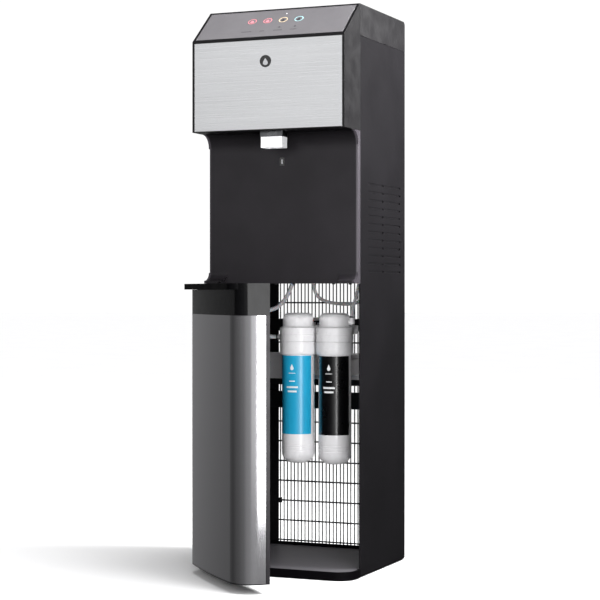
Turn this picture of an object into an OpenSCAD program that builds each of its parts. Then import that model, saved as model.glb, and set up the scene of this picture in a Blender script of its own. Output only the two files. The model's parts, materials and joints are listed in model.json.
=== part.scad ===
// Free-standing filtered water cooler with a touch-key head, a nozzle alcove and a lower
// filter cabinet. The cabinet door stands part open.
// X runs to the right, Y to the back and Z up. The origin lies on the floor, on the centre
// plane, in line with the front edges of the side panels.

/* [Cabinet] */
// Overall width
cabinet_w = 300; // [290:1:320]
// Depth of the side panels
cabinet_d = 239; // [230:1:260]
// Overall height above the floor
cabinet_h = 1040; // [1030:1:1060]
// Thickness of the steel sheet
sheet_t = 1.2; // [0.8:0.1:1.6]
// How far the plinth stands out in front of the side panels
plinth_nose = 50; // [44:1:54]

/* [Head] */
// How far the head stands out in front of the side panels
head_d = 78.7; // [70:0.1:84]
// Height of the underside of the head
head_low = 810; // [800:1:820]
// Height at which the sloping control panel starts
slope_low = 976.3; // [970:0.1:980]
// Wall of the moulded plastic covers
wall = 3; // [2:0.5:4]

/* [Alcove] */
// How far the back wall of the alcove stands in front of the side panels
alcove_d = 10; // [8:0.5:14]
// Height of the lower edge of the alcove
alcove_low = 533.8; // [533.6:0.1:540]

/* [Door] */
// Width of the door
door_w = 296; // [290:1:298]
// Distance of the crown of the door from the side panels
door_front = 67; // [60:1:72]
// Gap between the door and the side panels
door_gap = 3; // [2.5:0.5:4]
// Crown of the door front across its width
door_bow = 7; // [4:1:9]
// Radius of the outer corners of the door skin
door_corner_r = 42; // [30:1:44]
// Angle at which the door stands open
door_open = 46.6; // [0:0.1:110]

/* [Filters] */
// Distance between the two filter cartridges
filter_pitch = 76; // [74:0.1:84]
// Radius of a cartridge body
cartridge_r = 31; // [28:0.5:32]
// Radius of a filter head and of the cartridge collar
filter_head_r = 35.6; // [34:0.1:37]

/* [Grille] */
// Spacing of the horizontal condenser tubes
tube_pitch = 39.4; // [36:0.1:42]
// Number of horizontal condenser tubes
tube_rows = 19; // [11:2:19]
// Spacing of the vertical wires
wire_pitch = 7.54; // [6:0.02:9]

/* [Hidden] */
half_w = cabinet_w / 2;
inner_x = half_w - sheet_t;
fine = 64;
coarse = 32;

// Plinth and floor pan
plinth_z = 2;
plinth_top = 16;
plinth_corner_r = 35;
floor_pan_z = 14.5;
floor_pan_t = 1.2;
plinth_inset = 6;
foot_r = 14;
foot_t = 2;
foot_spigot_r = 5;
foot_spigot_h = 6;
foot_fit = 0.05;
foot_places = [[-112, 10], [112, 10], [-112, 210], [112, 210]];

// Side panels, top cover and back
panel_low = 4;
cover_seam = 982.2;
flange_w = 34;
front_return = 2;
cover_corner_r = 8;
rear_cover_low = 750;
rear_cover_y = cabinet_d + 0.2;
rear_y = rear_cover_y + sheet_t;
louvre_rows = 12;
louvre_pitch = 14.6;
louvre_low = 554;
louvre_h = 3;
louvre_columns = [[40, 79], [124, 88]];

// Head
slope_back = 2.7;
slope_run = head_d - slope_back;
slope_rise = cabinet_h - slope_low;
slope_angle = atan(slope_rise / slope_run);
slope_len = sqrt(slope_run * slope_run + slope_rise * slope_rise);
fascia_x = 145.5;
fascia_low = 811.6;
fascia_top = 972.5;
fascia_t = 1;
panel_border = 5;
glass_t = 1.6;
mark_x = -3;
key_pitch = 31;
key_r = 8.5;
key_up = 59;
badge_z = 934;
badge_r = 11;

// Alcove and nozzle
alcove_corner_r = 5.5;
fillet_r = 25;
lip_in = 106;
lip_cut = 16;
lip_reach = 30;
lip_h = 20;
lip_face = 5;
pin_reach = 5;
deck_z = 536;
sensor_w = 10;
sensor_h = 16;
sensor_z = 749.4;
shroud_low = 779.6;
shroud_top = 799.8;
nozzle_back = -35;
nozzle_front = -60;
nozzle_half = 21;
collar_rim = 1;
spout_y = -47.5;
spout_x = 8.5;
spout_r = 5;
spout_bore = 3.5;

// Door, in its closed place
hinge_x = -140;
hinge_y = -16;
hinge_r = 3;
hinge_fit = 0.05;
door_low = 17;
door_trim_t = 1.5;
skin_t = 0.8;
skin_top = 478;
cap_top = 533;
skin_end = -10.5;
tray_half = 125;
tray_front = -74;
lip_half = 140;
lip_back = -30;
lip_corner_r = 15;
tray_back = -8;
tray_low = 522.5;
tray_fit = 0.3;
grid_top = 532.6;
catch_low = [129, -26];
catch_high = [143, -12];
catch_t = 3.5;
strike_t = 1.2;

// Filters
filter_y = 148;
filter_mid = 2.6;
filter_xs = [filter_mid - filter_pitch / 2, filter_mid + filter_pitch / 2];
head_joint_z = 423.2;
head_top_z = 477.6;
core_r = 23.95;
core_bore_r = 24;
neck_r = 14;
neck_bore_r = 14.08;
label_z = 246;
label_h = 150;
label_t = 0.4;
cap_r = 31.5;
cartridge_low = 189.3;

// Condenser on the back
tube_r = 1.5;
tube_y = cabinet_d + 4.2;
tube_low = 23.9;
tube_half = 118;
wire_r = 1.2;
wire_half = 116;
wire_z = 18;
wire_shift = -2.6;
hook_x = 112;
hook_w = 2.2;

// Cooling, heating and tanks
compressor_at = [26, 76, 552];
compressor_r = 62;
compressor_h = 118;
cold_at = [-58, 128, 742];
cold_r = 60;
cold_h = 183;
hot_at = [88, 128, 742];
hot_r = 40;
hot_h = 170;
float_rod_r = 3;
float_low = 848.4;
shelf_z = 733.4;
shelf_t = 1.5;

// Back fittings
switch_xs = [46, 66, 86];
switch_z = 900;
rocker_w = 12.8;
rocker_h = 18.4;
rocker_tilt = 6;
rocker_pin_r = 1.2;
inlet_at = [100, 790];
inlet_bore_r = 3.25;
inlet_end = 262;
drain_at = [-100, 790];
gland_at = [-60, 790];

// Routes of the water tubes that the cabinet holds
supply_route = [[-47, 150, 575], [-47, 150, 545], [-53, 150, 524], [-64, 150, 504], [-80, 150, 489],
    [-96, 150, 483], [-112, 150, 475], [-120, 150, 458], [-117, 150, 441], [-104, 149, 433],
    [-90, 148, 431], [-77.4, 148, 431]];
valve_route = [[-17, 186, 575], [-17, 180, 545], [-15, 176, 530], [-9, 175, 514], [0, 175, 505],
    [11, 175, 500], [24, 175, 497], [42, 175, 495], [62, 175, 495], [80, 175, 499], [97, 175, 508],
    [108, 175, 522], [112, 175, 540], [112, 175, 560]];
outlet_route = [[75.6, 148, 469], [76.6, 148, 478], [79, 149, 494], [84, 150, 511], [88, 150, 528],
    [91, 150, 545], [98, 146, 575], [112, 120, 620], [122, 70, 680], [120, 30, 750], [110, 14, 804],
    [80, 12, 842], [52, 15, 864], [40, 16, 866]];
spout_route = [[28, 16, 858], [27, 12, 851], [22, -6, 858], [14, -32, 866], [9, -46, 858],
    [8.5, -47.5, 848]];
link_route = [[-35.4, 178, 462], [-33.4, 188, 463], [-22, 198, 465], [2.6, 201, 466],
    [27, 198, 465], [38.6, 188, 463], [40.6, 178, 462]];
inlet_route = [[100, 226, 790], [101, 219, 787], [112, 214, 765], [126, 213, 730], [130, 212, 680],
    [127, 210, 640], [119, 212, 600], [113, 208, 580], [112, 200, 573], [112, 193, 572]];
discharge_route = [[100, 243.8, 733.1], [106, 243.8, 733.1], [110.5, 241, 732], [112, 234, 729],
    [112, 224, 722], [110, 200, 700], [100, 160, 660], [84, 124, 610], [68, 110, 600]];
liquid_route = [[-118, 243.2, 23.9], [-130, 242.7, 24], [-142, 243, 30], [-146, 243, 48],
    [-146, 243, 380], [-146, 243, 712], [-142, 243, 731], [-130, 243, 741], [-114, 243, 743],
    [-104, 237.5, 740], [-100, 226, 730], [-100, 215, 708]];

// ---- Shared shapes ----

// Points of an arc about centre c from angle a0 to a1, in n steps
function arc(c, r, a0, a1, n) =
    [for (i = [0 : n]) let (a = a0 + (a1 - a0) * i / n) [c[0] + r * cos(a), c[1] + r * sin(a)]];

// A box between two corners
module box(low, high) {
    translate(low)
        cube(high - low);
}

// A bar with a plan outline, between two heights
module prism(z0, z1) {
    translate([0, 0, z0])
        linear_extrude(z1 - z0)
            children();
}

// A profile drawn in Y and Z, run across X between x0 and x1
module across(x0, x1) {
    translate([x0, 0, 0])
        rotate([90, 0, 90])
            linear_extrude(x1 - x0)
                children();
}

// A straight round bar along Y
module bar_y(x, z, r, y0, y1, sides = fine) {
    translate([x, y0, z])
        rotate([-90, 0, 0])
            cylinder(r = r, h = y1 - y0, $fn = sides);
}

// A straight round bar along X
module bar_x(y, z, r, x0, x1, sides = coarse) {
    translate([x0, y, z])
        rotate([0, 90, 0])
            cylinder(r = r, h = x1 - x0, $fn = sides);
}

// A point on a smooth curve through four points
function spline(a, b, c, d, t) =
    0.5 * (2 * b + (c - a) * t + (2 * a - 5 * b + 4 * c - d) * t * t
    + (3 * b - a - 3 * c + d) * t * t * t);

// A route with extra points laid on the smooth curve through it
function smooth(p, steps) = let (n = len(p) - 1) concat(
    [for (i = [0 : n - 1], s = [0 : steps - 1])
        spline(p[max(i - 1, 0)], p[i], p[i + 1], p[min(i + 2, n)], s / steps)],
    [p[n]]);

function unit(v) = v / norm(v);

// Direction of the route at point i
function heading(p, i) = unit(p[min(i + 1, len(p) - 1)] - p[max(i - 1, 0)]);

// A round tube swept along a route. The route never runs along the side vector.
module swept(route, r, steps = 3, sides = 10, side = [0, 1, 0]) {
    p = smooth(route, steps);
    n = len(p);
    rings = [for (i = [0 : n - 1])
        let (t = heading(p, i), u = unit(cross(t, side)), v = cross(t, u))
        for (j = [0 : sides - 1])
            p[i] + r * (cos(360 * j / sides) * u + sin(360 * j / sides) * v)];
    skin = [for (i = [0 : n - 2], j = [0 : sides - 1])
        let (a = i * sides + j, b = i * sides + (j + 1) % sides)
        [a, a + sides, b + sides, b]];
    ends = [[for (j = [0 : sides - 1]) j],
        [for (j = [0 : sides - 1]) n * sides - 1 - j]];
    polyhedron(points = rings, faces = concat(skin, ends), convexity = 6);
}

// ---- Base ----

module plinth_outline(inset) {
    x = half_w - inset;
    r = plinth_corner_r - inset;
    y = -plinth_nose + inset;
    polygon(concat(
        arc([-x + r, y + r], r, 180, 270, 14),
        arc([x - r, y + r], r, 270, 360, 14),
        [[x, -0.3], [inner_x - 0.2 - inset, -0.3], [inner_x - 0.2 - inset, cabinet_d - 1 - inset],
        [-inner_x + 0.2 + inset, cabinet_d - 1 - inset], [-inner_x + 0.2 + inset, -0.3], [-x, -0.3]]));
}

// Moulded plinth: a flat underside set in from the skirt, a rim that stands higher at the back,
// and pockets between ribs
module base_plinth() {
    pocket = [88, 60];
    color("#1b1a1c")
        difference() {
            union() {
                prism(plinth_z, plinth_top)
                    plinth_outline(0);
                prism(0, plinth_z + 1)
                    plinth_outline(plinth_inset);
                box([-inner_x + 0.4, 234, plinth_top - 2], [inner_x - 0.4, 236.5, plinth_top + 6]);
            }
            prism(floor_pan_z, plinth_top + 1)
                plinth_outline(5);
            for (x = [-96, 0, 96], y = [40, 104, 168])
                if (abs(x) < 1 || y > 45)
                    translate([x - pocket[0] / 2, y - pocket[1] / 2, plinth_z + 2.5])
                        cube([pocket[0], pocket[1], 20]);
            for (p = foot_places)
                translate([p[0], p[1], -1]) {
                    cylinder(r = foot_r, h = 1 + foot_t, $fn = fine);
                    cylinder(r = foot_spigot_r, h = 1 + foot_t + foot_spigot_h, $fn = fine);
                }
            translate([hinge_x, hinge_y, plinth_z + 3])
                cylinder(r = hinge_r, h = 20, $fn = fine);
        }
}

// Non-slip rubber pads, flush with the underside of the plinth
module rubber_feet() {
    color("#242424")
        for (p = foot_places)
            translate([p[0], p[1], 0]) {
                cylinder(r = foot_r - foot_fit, h = foot_t - foot_fit, $fn = fine);
                cylinder(r = foot_spigot_r - foot_fit, h = foot_t + foot_spigot_h - foot_fit, $fn = fine);
            }
}

// Sheet that covers the plinth inside the cabinet, with a hole for the lower hinge pin
module floor_pan() {
    color("#4b494d")
        difference() {
            prism(floor_pan_z, floor_pan_z + floor_pan_t)
                plinth_outline(5.3);
            translate([hinge_x, hinge_y, floor_pan_z - 1])
                cylinder(r = 8, h = 10, $fn = fine);
        }
}

// ---- Cabinet ----

// Right panel: a louvred side with a return at the front and a flange at the back
module side_panel() {
    difference() {
        union() {
            box([inner_x, 0, panel_low], [half_w, cabinet_d, cover_seam]);
            box([inner_x - front_return, 0, panel_low + 14],
                [inner_x + 0.1, sheet_t, alcove_low - 1]);
            box([half_w - flange_w, cabinet_d - sheet_t, panel_low + 14],
                [inner_x + 0.1, cabinet_d, cover_seam]);
        }
        for (i = [0 : louvre_rows - 1], c = louvre_columns)
            translate([inner_x - 1, c[0], louvre_low + i * louvre_pitch])
                cube([4, c[1], louvre_h]);
        for (z = [780, 870, 960])
            bar_y(half_w - 16, z, 2, cabinet_d - 3, cabinet_d + 1, coarse);
    }
}

module right_side_panel() {
    color("#39373a")
        side_panel();
}

module left_side_panel() {
    color("#39373a")
        mirror([1, 0, 0])
            side_panel();
}

module cover_profile(inset) {
    r = cover_corner_r - inset;
    polygon(concat(
        [[0.3 - inset, cover_seam + 0.3 - inset], [cabinet_d - inset, cover_seam + 0.3 - inset]],
        arc([cabinet_d - cover_corner_r, cabinet_h - cover_corner_r], r, 0, 90, 8),
        [[0.3 - inset, cabinet_h - inset]]));
}

// Top cover: a moulding open at the front and below
module top_cover() {
    color("#3b393c")
        difference() {
            across(-half_w, half_w)
                cover_profile(0);
            across(-half_w + wall, half_w - wall)
                cover_profile(wall);
        }
}

module rear_cover() {
    color("#2b2a2c")
        difference() {
            union() {
                box([-half_w + 1, rear_cover_y, rear_cover_low], [half_w - 1, rear_y, cover_seam - 1]);
                bar_y(drain_at[0], drain_at[1], 7, rear_y - 0.5, rear_y + 14);
            }
            for (s = [-1, 1], z = [780, 870, 960])
                bar_y(s * (half_w - 16), z, 2, cabinet_d - 1, rear_y + 1, coarse);
            box([switch_xs[0] - 10, rear_cover_y - 1, switch_z - 13],
                [switch_xs[2] + 10, rear_y + 1, switch_z + 13]);
            bar_y(inlet_at[0], inlet_at[1], 8, rear_cover_y - 1, rear_y + 1);
            bar_y(gland_at[0], gland_at[1], 7, rear_cover_y - 1, rear_y + 1);
            bar_y(drain_at[0], drain_at[1], 5, rear_cover_y - 1, rear_y + 20);
        }
}

module rear_screws() {
    color("#8b8c90")
        for (s = [-1, 1], z = [780, 870, 960]) {
            difference() {
                bar_y(s * (half_w - 16), z, 4, rear_y, rear_y + 2.2, coarse);
                translate([s * (half_w - 16) - 2.6, rear_y + 1.2, z - 0.5])
                    cube([5.2, 2, 1]);
                translate([s * (half_w - 16) - 0.5, rear_y + 1.2, z - 2.6])
                    cube([1, 2, 5.2]);
            }
            bar_y(s * (half_w - 16), z, 2, cabinet_d - 4, rear_y + 0.1, coarse);
        }
}

// ---- Head ----

// Frame of the slope: Y runs up the slope and Z points out of it
module on_slope() {
    translate([0, -head_d, slope_low])
        rotate([slope_angle, 0, 0])
            children();
}

module head_profile(inset) {
    polygon([[-head_d + inset, head_low + inset], [-head_d + inset, slope_low - inset * 0.37],
        [-slope_back - inset * 0.37, cabinet_h - inset], [1 + inset, cabinet_h - inset],
        [1 + inset, head_low + inset]]);
}

// Head moulding: cheeks, soffit and the frames round the fascia and the control panel
module head_shell() {
    color("#2a292c")
        difference() {
            intersection() {
                across(-half_w, half_w)
                    head_profile(0);
                box([-half_w, -head_d - 1, head_low], [half_w, 0, cabinet_h]);
            }
            across(-half_w + wall, half_w - wall)
                head_profile(wall);
            box([-fascia_x - 0.2, -head_d - 1, fascia_low - 0.2],
                [fascia_x + 0.2, -head_d + fascia_t, fascia_top + 0.2]);
            on_slope()
                box([-half_w + panel_border - 0.2, panel_border - 0.2, -glass_t],
                    [half_w - panel_border + 0.2, slope_len - panel_border + 0.2, 4]);
            on_slope()
                box([-110, 30, -10], [110, 84, 4]);
            box([-half_w + 8, -14, head_low - 1], [half_w - 8, 1, head_low + wall + 1]);
            for (s = [-1, 1])
                translate([s * spout_x, spout_y, head_low - 1])
                    cylinder(r = spout_r + 0.3, h = 6, $fn = fine);
        }
}

module stainless_fascia() {
    color("#c6c7c9")
        box([-fascia_x, -head_d, fascia_low], [fascia_x, -head_d + fascia_t, fascia_top]);
}

// Round generic badge with a raised rim
module fascia_badge() {
    color("#1c1c1e")
        translate([mark_x, -head_d, badge_z])
            rotate([90, 0, 0])
                difference() {
                    cylinder(r = badge_r, h = 0.6, $fn = fine);
                    translate([0, 0, 0.3])
                        cylinder(r = badge_r - 1.4, h = 1, $fn = fine);
                }
}

module key_places() {
    for (i = [-1.5 : 1 : 1.5])
        translate([mark_x + i * key_pitch, key_up, 0])
            children();
}

// Light grey touch panel, laid into the slope, with a window under each key
module control_panel() {
    color("#a09ea0")
        on_slope()
            difference() {
                box([-half_w + panel_border, panel_border, -glass_t],
                    [half_w - panel_border, slope_len - panel_border, 0]);
                key_places()
                    translate([0, 0, -glass_t - 1])
                        cylinder(r = key_r, h = 6, $fn = fine);
            }
}

module touch_lenses() {
    color("#e8565c")
        on_slope()
            key_places()
                translate([0, 0, -glass_t])
                    cylinder(r = key_r, h = glass_t, $fn = fine);
}

// Sensor board under the touch panel, with a light source under each key
module control_board() {
    color("#1f6a3c")
        on_slope() {
            box([-104, 34, -9], [104, 80, -7.4]);
            key_places()
                translate([0, 0, -7.4])
                    cylinder(r = 2.5, h = 3, $fn = coarse);
            box([-92, 38, -7.4], [-72, 50, -5]);
            box([70, 38, -7.4], [86, 54, -5.4]);
        }
}

// ---- Alcove ----

module alcove_outline(inset) {
    r = alcove_corner_r - inset;
    x = half_w - inset;
    y = -alcove_d + inset;
    polygon(concat(
        arc([-x + r, y + r], r, 180, 270, 8),
        arc([x - r, y + r], r, 270, 360, 8),
        [[x, -0.3 + inset * 2], [-x, -0.3 + inset * 2]]));
}

// Side profile of the solid lip that sweeps out from the alcove at each lower corner
module lip_profile() {
    flare = lip_reach - alcove_d;
    polygon(concat(
        [[-0.3, alcove_low], [-lip_reach, alcove_low], [-lip_reach, alcove_low + lip_face]],
        [for (i = [1 : 10]) [-lip_reach + flare * sin(i * 9), alcove_low + lip_h
            - (lip_h - lip_face) * cos(i * 9)]],
        [[-0.3, alcove_low + lip_h]]));
}

// Alcove moulding: back wall, rolled side edges, the cove under the head and the lower lips
module alcove_panel() {
    color("#302e31")
        difference() {
            union() {
                prism(alcove_low, head_low - 0.3)
                    difference() {
                        alcove_outline(0);
                        alcove_outline(2.5);
                    }
                difference() {
                    box([-half_w, -alcove_d - fillet_r, head_low - fillet_r],
                        [half_w, -alcove_d + 1, head_low - 0.3]);
                    bar_x(-alcove_d - fillet_r, head_low - 0.3 - fillet_r, fillet_r,
                        -half_w - 1, half_w + 1, fine * 2);
                }
                for (s = [0, 1])
                    mirror([s, 0, 0])
                        intersection() {
                            across(lip_in - 10, half_w)
                                lip_profile();
                            rotate([90, 0, 0])
                                translate([0, 0, -10])
                                    linear_extrude(60)
                                        polygon([[half_w, alcove_low], [half_w, alcove_low + lip_h],
                                            [lip_in, alcove_low + lip_h],
                                            [lip_in + lip_cut, alcove_low]]);
                        }
            }
            box([-sensor_w / 2 - 0.1, -alcove_d - 1, sensor_z - 0.1],
                [sensor_w / 2 + 0.1, 1, sensor_z + sensor_h + 0.1]);
            translate([hinge_x, hinge_y, alcove_low - 1])
                cylinder(r = hinge_r, h = 1 + pin_reach, $fn = fine);
            box([catch_low[0] - 0.1, catch_low[1] - 0.1, alcove_low - 1],
                [catch_high[0] + 0.1, catch_high[1] + 0.1, alcove_low + catch_t + 0.1]);
        }
}

module cup_sensor() {
    color("#151517") {
        difference() {
            box([-sensor_w / 2, -alcove_d - 1.2, sensor_z], [sensor_w / 2, 2, sensor_z + sensor_h]);
            box([-1.5, -alcove_d - 2, sensor_z + 3.5],
                [1.5, -alcove_d - 0.6, sensor_z + sensor_h - 3.5]);
        }
    }
}

module spout_holes(low, high) {
    for (s = [-1, 1])
        translate([s * spout_x, spout_y, low])
            cylinder(r = spout_r + 0.3, h = high - low, $fn = fine);
}

module nozzle_collar() {
    color("#b9babd")
        difference() {
            box([-nozzle_half - collar_rim, nozzle_front - collar_rim, shroud_top],
                [nozzle_half + collar_rim, nozzle_back, head_low]);
            spout_holes(shroud_top - 1, head_low + 1);
        }
}

module nozzle_shroud() {
    color("#e4e5e8")
        difference() {
            box([-nozzle_half, nozzle_front, shroud_low], [nozzle_half, nozzle_back, shroud_top]);
            spout_holes(shroud_low - 1, shroud_top + 1);
        }
}

// Hot and cold spout tubes
module water_spouts() {
    color("#d8d9dc")
        for (s = [-1, 1])
            translate([s * spout_x, spout_y, shroud_low + 3])
                difference() {
                    cylinder(r = spout_r, h = 66, $fn = fine);
                    translate([0, 0, -1])
                        cylinder(r = spout_bore, h = 70, $fn = fine);
                }
}

// ---- Cooling circuit ----

// Deck under the compressor, and the shelf on which the two tanks stand
module mid_deck() {
    color("#5d5e61")
        difference() {
            union() {
                box([-inner_x + 0.4, 50, shelf_z], [inner_x - 0.4, 205, shelf_z + shelf_t]);
                for (x = [-inner_x + 0.4, inner_x - 1.9])
                    box([x, 50, shelf_z - 14], [x + 1.5, 205, shelf_z + 0.5]);
                box([-inner_x + 0.4, 0.5, deck_z], [inner_x - 0.4, 236, deck_z + 1.5]);
                box([-inner_x + 0.4, 0.5, deck_z + 1], [inner_x - 0.4, 2, deck_z + 12]);
                box([-inner_x + 0.4, 234.5, deck_z + 1], [inner_x - 0.4, 236, deck_z + 12]);
            }
            for (p = [[-47, 150], [-17, 180.5], [90, 150], [112, 175]])
                translate([p[0], p[1], deck_z - 1])
                    cylinder(r = 7, h = 4, $fn = coarse);
            for (p = mount_places())
                translate([p[0], p[1], deck_z - 1])
                    cylinder(r = 3, h = 4, $fn = coarse);
        }
}

function mount_places() = [for (x = [-58, 58], y = [-42, 42])
    [compressor_at[0] + x, compressor_at[1] + y]];

// Sealed compressor can on a foot plate, with its relay box
module compressor() {
    r = compressor_r;
    h = compressor_h;
    color("#1d1d1f") {
        translate(compressor_at)
            rotate_extrude($fn = 96)
                polygon(concat([[0, 0], [r - 26, 0]],
                    arc([r - 26, 26], 26, 270, 360, 10),
                    [[r, h - 40]],
                    arc([r - 40, h - 40], 40, 0, 80, 12),
                    [[0, h + 2]]));
        difference() {
            box([compressor_at[0] - 68, compressor_at[1] - 52, 549.5],
                [compressor_at[0] + 68, compressor_at[1] + 52, 552]);
            for (p = mount_places())
                translate([p[0], p[1], 548])
                    cylinder(r = 5, h = 6, $fn = coarse);
        }
        box([compressor_at[0] - 86, compressor_at[1] - 18, 590],
            [compressor_at[0] - 61, compressor_at[1] + 18, 630]);
    }
}

// Rubber grommets and the screws through them
module compressor_mounts() {
    for (p = mount_places())
        translate([p[0], p[1], 0]) {
            color("#2a2a2a")
                difference() {
                    union() {
                        translate([0, 0, deck_z + 1.5])
                            cylinder(r = 9, h = 12, $fn = coarse);
                        translate([0, 0, 549])
                            cylinder(r = 5, h = 3.2, $fn = coarse);
                    }
                    translate([0, 0, deck_z])
                        cylinder(r = 3, h = 30, $fn = coarse);
                }
            color("#a8a9ac") {
                translate([0, 0, deck_z - 4])
                    cylinder(r = 3, h = 20.3, $fn = coarse);
                translate([0, 0, deck_z + 16.2])
                    cylinder(r = 6, h = 3, $fn = 6);
            }
        }
}

// Serpentine condenser tube
module condenser_tube() {
    color("#1c1b1d")
        union() {
            for (i = [0 : tube_rows - 1])
                bar_x(tube_y, tube_low + i * tube_pitch, tube_r,
                    -tube_half, (i == tube_rows - 1) ? 100 : tube_half);
            for (i = [0 : tube_rows - 2])
                translate([(i % 2 == 0 ? 1 : -1) * tube_half, tube_y, tube_low + (i + 0.5) * tube_pitch])
                    rotate([90, (i % 2 == 0 ? 90 : -90), 0])
                        rotate_extrude(angle = 180, $fn = 48)
                            translate([tube_pitch / 2, 0])
                                circle(r = tube_r, $fn = 16);
        }
}

// Vertical wires welded to both sides of the tube, in turn
module condenser_wires() {
    count = floor(wire_half / wire_pitch);
    wire_h = tube_low + (tube_rows - 1) * tube_pitch + 2.4 - wire_z;
    color("#232224")
        for (i = [-count : count])
            let (rear = i % 2 != 0)
            translate([i * wire_pitch + (rear ? wire_shift : 0),
                tube_y + (rear ? 1 : -1) * (tube_r + wire_r), wire_z])
                cylinder(r = wire_r, h = wire_h, $fn = 16);
}

// Hooks that hold the tube to the flanges of the side panels
module condenser_clips() {
    color("#2a2a2c")
        for (s = [0, 1], i = [2, tube_rows - 3])
            mirror([s, 0, 0])
                translate([0, 0, tube_low + i * tube_pitch])
                    difference() {
                        union() {
                            box([hook_x, cabinet_d, -5], [hook_x + 28, cabinet_d + 1.2, 5]);
                            box([hook_x, cabinet_d, -5], [hook_x + hook_w, cabinet_d + 7.2, 5]);
                        }
                        bar_x(tube_y, 0, tube_r, hook_x - 1, hook_x + hook_w + 1);
                    }
}

// Compressor discharge, the liquid line up from the condenser and its filter drier
module refrigerant_lines() {
    color("#b8703c") {
        swept(discharge_route, 1.9, 3, 8, [0, 0, 1]);
        swept(liquid_route, 2.2, 3, 8, [0.3, 1, 0.1]);
        translate([-100, 215, 636])
            rotate_extrude($fn = 48)
                polygon([[0, 0], [2, 0], [3, 8], [9.5, 14], [9.5, 58], [3, 66], [2.6, 72], [0, 72]]);
    }
}

// ---- Tanks ----

// Cold tank with its outlet, and the guide rod of the float under the lid
module cold_tank() {
    color("#c2c4c7")
        translate(cold_at) {
            difference() {
                cylinder(r = cold_r, h = cold_h, $fn = 96);
                translate([0, 0, 1.2])
                    cylinder(r = cold_r - 1.2, h = cold_h - 2.4, $fn = 96);
                translate([34, 0, cold_h - 4])
                    cylinder(r = 4, h = 8, $fn = coarse);
            }
            translate([0, 0, float_low - cold_at[2] - 4])
                cylinder(r = 6, h = 3.6, $fn = coarse);
            translate([0, 0, float_low - cold_at[2] - 1])
                cylinder(r = float_rod_r, h = cold_h - float_low + cold_at[2], $fn = coarse);
        }
}

// Ring float that slides on the rod
module tank_float() {
    color("#e8e4da")
        translate([cold_at[0], cold_at[1], float_low])
            difference() {
                cylinder(r = 16, h = 18, $fn = fine);
                translate([0, 0, -1])
                    cylinder(r = float_rod_r + 0.08, h = 20, $fn = coarse);
            }
}

// Coil wound round the cold tank
module evaporator_coil() {
    turns = 5;
    per_turn = 24;
    r = cold_r + 3.4;
    route = [for (i = [0 : turns * per_turn]) let (a = 360 * i / per_turn)
        [cold_at[0] + r * cos(a), cold_at[1] + r * sin(a), cold_at[2] + 30 + 22 * i / per_turn]];
    color("#b8703c")
        swept(route, 2.6, 1, 8, [0, 0, 1]);
}

module hot_tank() {
    color("#c9cacd")
        translate(hot_at) {
            difference() {
                cylinder(r = hot_r, h = hot_h, $fn = 96);
                translate([0, 0, 1.2])
                    cylinder(r = hot_r - 1.2, h = hot_h - 2.4, $fn = 96);
                translate([20, 0, hot_h - 4])
                    cylinder(r = 4, h = 8, $fn = coarse);
            }
            for (z = [40, 60])
                translate([-hot_r - 4.5, 0, z])
                    rotate([0, 90, 0])
                        cylinder(r = 7, h = 5, $fn = coarse);
        }
}

module foam_cup(at, r_in, r_out, h) {
    translate([at[0], at[1], at[2] - 7])
        difference() {
            cylinder(r = r_out, h = h + 20, $fn = 96);
            translate([0, 0, 6.8])
                cylinder(r = r_in, h = h + 0.4, $fn = 96);
            translate([0, 0, h])
                cylinder(r = 10, h = 30, $fn = coarse);
        }
}

// Foam shells round both tanks
module tank_insulation() {
    color("#e9e6dd") {
        foam_cup(cold_at, cold_r + 7, cold_r + 23, cold_h);
        foam_cup(hot_at, hot_r + 6, hot_r + 15, hot_h);
    }
}

module solenoid_valve(at) {
    translate(at) {
        cube([24, 22, 18], center = true);
        translate([0, 0, 8])
            cylinder(r = 10, h = 24, $fn = fine);
    }
}

// Inlet valve and pressure regulator on the deck, and the two outlet valves above the nozzle
module solenoid_valves() {
    color("#2f3238") {
        solenoid_valve([112, 182, 572]);
        solenoid_valve([28, 16, 866]);
        solenoid_valve([-28, 16, 866]);
        translate([-56, 141, 575])
            cube([57, 56, 22]);
    }
}

// Power board behind the tanks
module power_board() {
    color("#1f6a3c") {
        box([-72, 224, 946], [72, 225.6, 974]);
        box([-60, 206, 948], [-30, 224, 970]);
        box([-14, 212, 950], [10, 224, 972]);
        bar_y(36, 958, 7, 210, 224);
    }
}

// ---- Back fittings ----

module switch_bezel() {
    color("#19191b")
        difference() {
            union() {
                box([switch_xs[0] - 12, rear_y, switch_z - 15],
                    [switch_xs[2] + 12, rear_y + 2.6, switch_z + 15]);
                box([switch_xs[0] - 9.6, rear_y - 12, switch_z - 12.6],
                    [switch_xs[2] + 9.6, rear_y + 1, switch_z + 12.6]);
            }
            for (x = switch_xs) {
                box([x - rocker_w / 2 - 0.4, rear_y - 20, switch_z - rocker_h / 2 - 0.6],
                    [x + rocker_w / 2 + 0.4, rear_y + 5, switch_z + rocker_h / 2 + 0.6]);
                bar_x(rear_y + 0.6, switch_z, rocker_pin_r + 0.06,
                    x - rocker_w / 2 - 1.8, x + rocker_w / 2 + 1.8);
            }
        }
}

// Rocker of a switch, resting with one end pressed in
module rocker(x, tint) {
    h = rocker_h / 2;
    color(tint)
        translate([x, rear_y + 0.6, switch_z])
            rotate([rocker_tilt, 0, 0]) {
                across(-rocker_w / 2, rocker_w / 2)
                    polygon([[3.6, 0], [2.2, h], [-2, h], [-7, 3], [-7, -3], [-2, -h], [2.2, -h]]);
                bar_x(0, 0, rocker_pin_r, -rocker_w / 2 - 1.4, rocker_w / 2 + 1.4);
            }
}

module hot_rocker() {
    rocker(switch_xs[0], "#b3262a");
}

module cold_rocker() {
    rocker(switch_xs[1], "#2b5fae");
}

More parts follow.
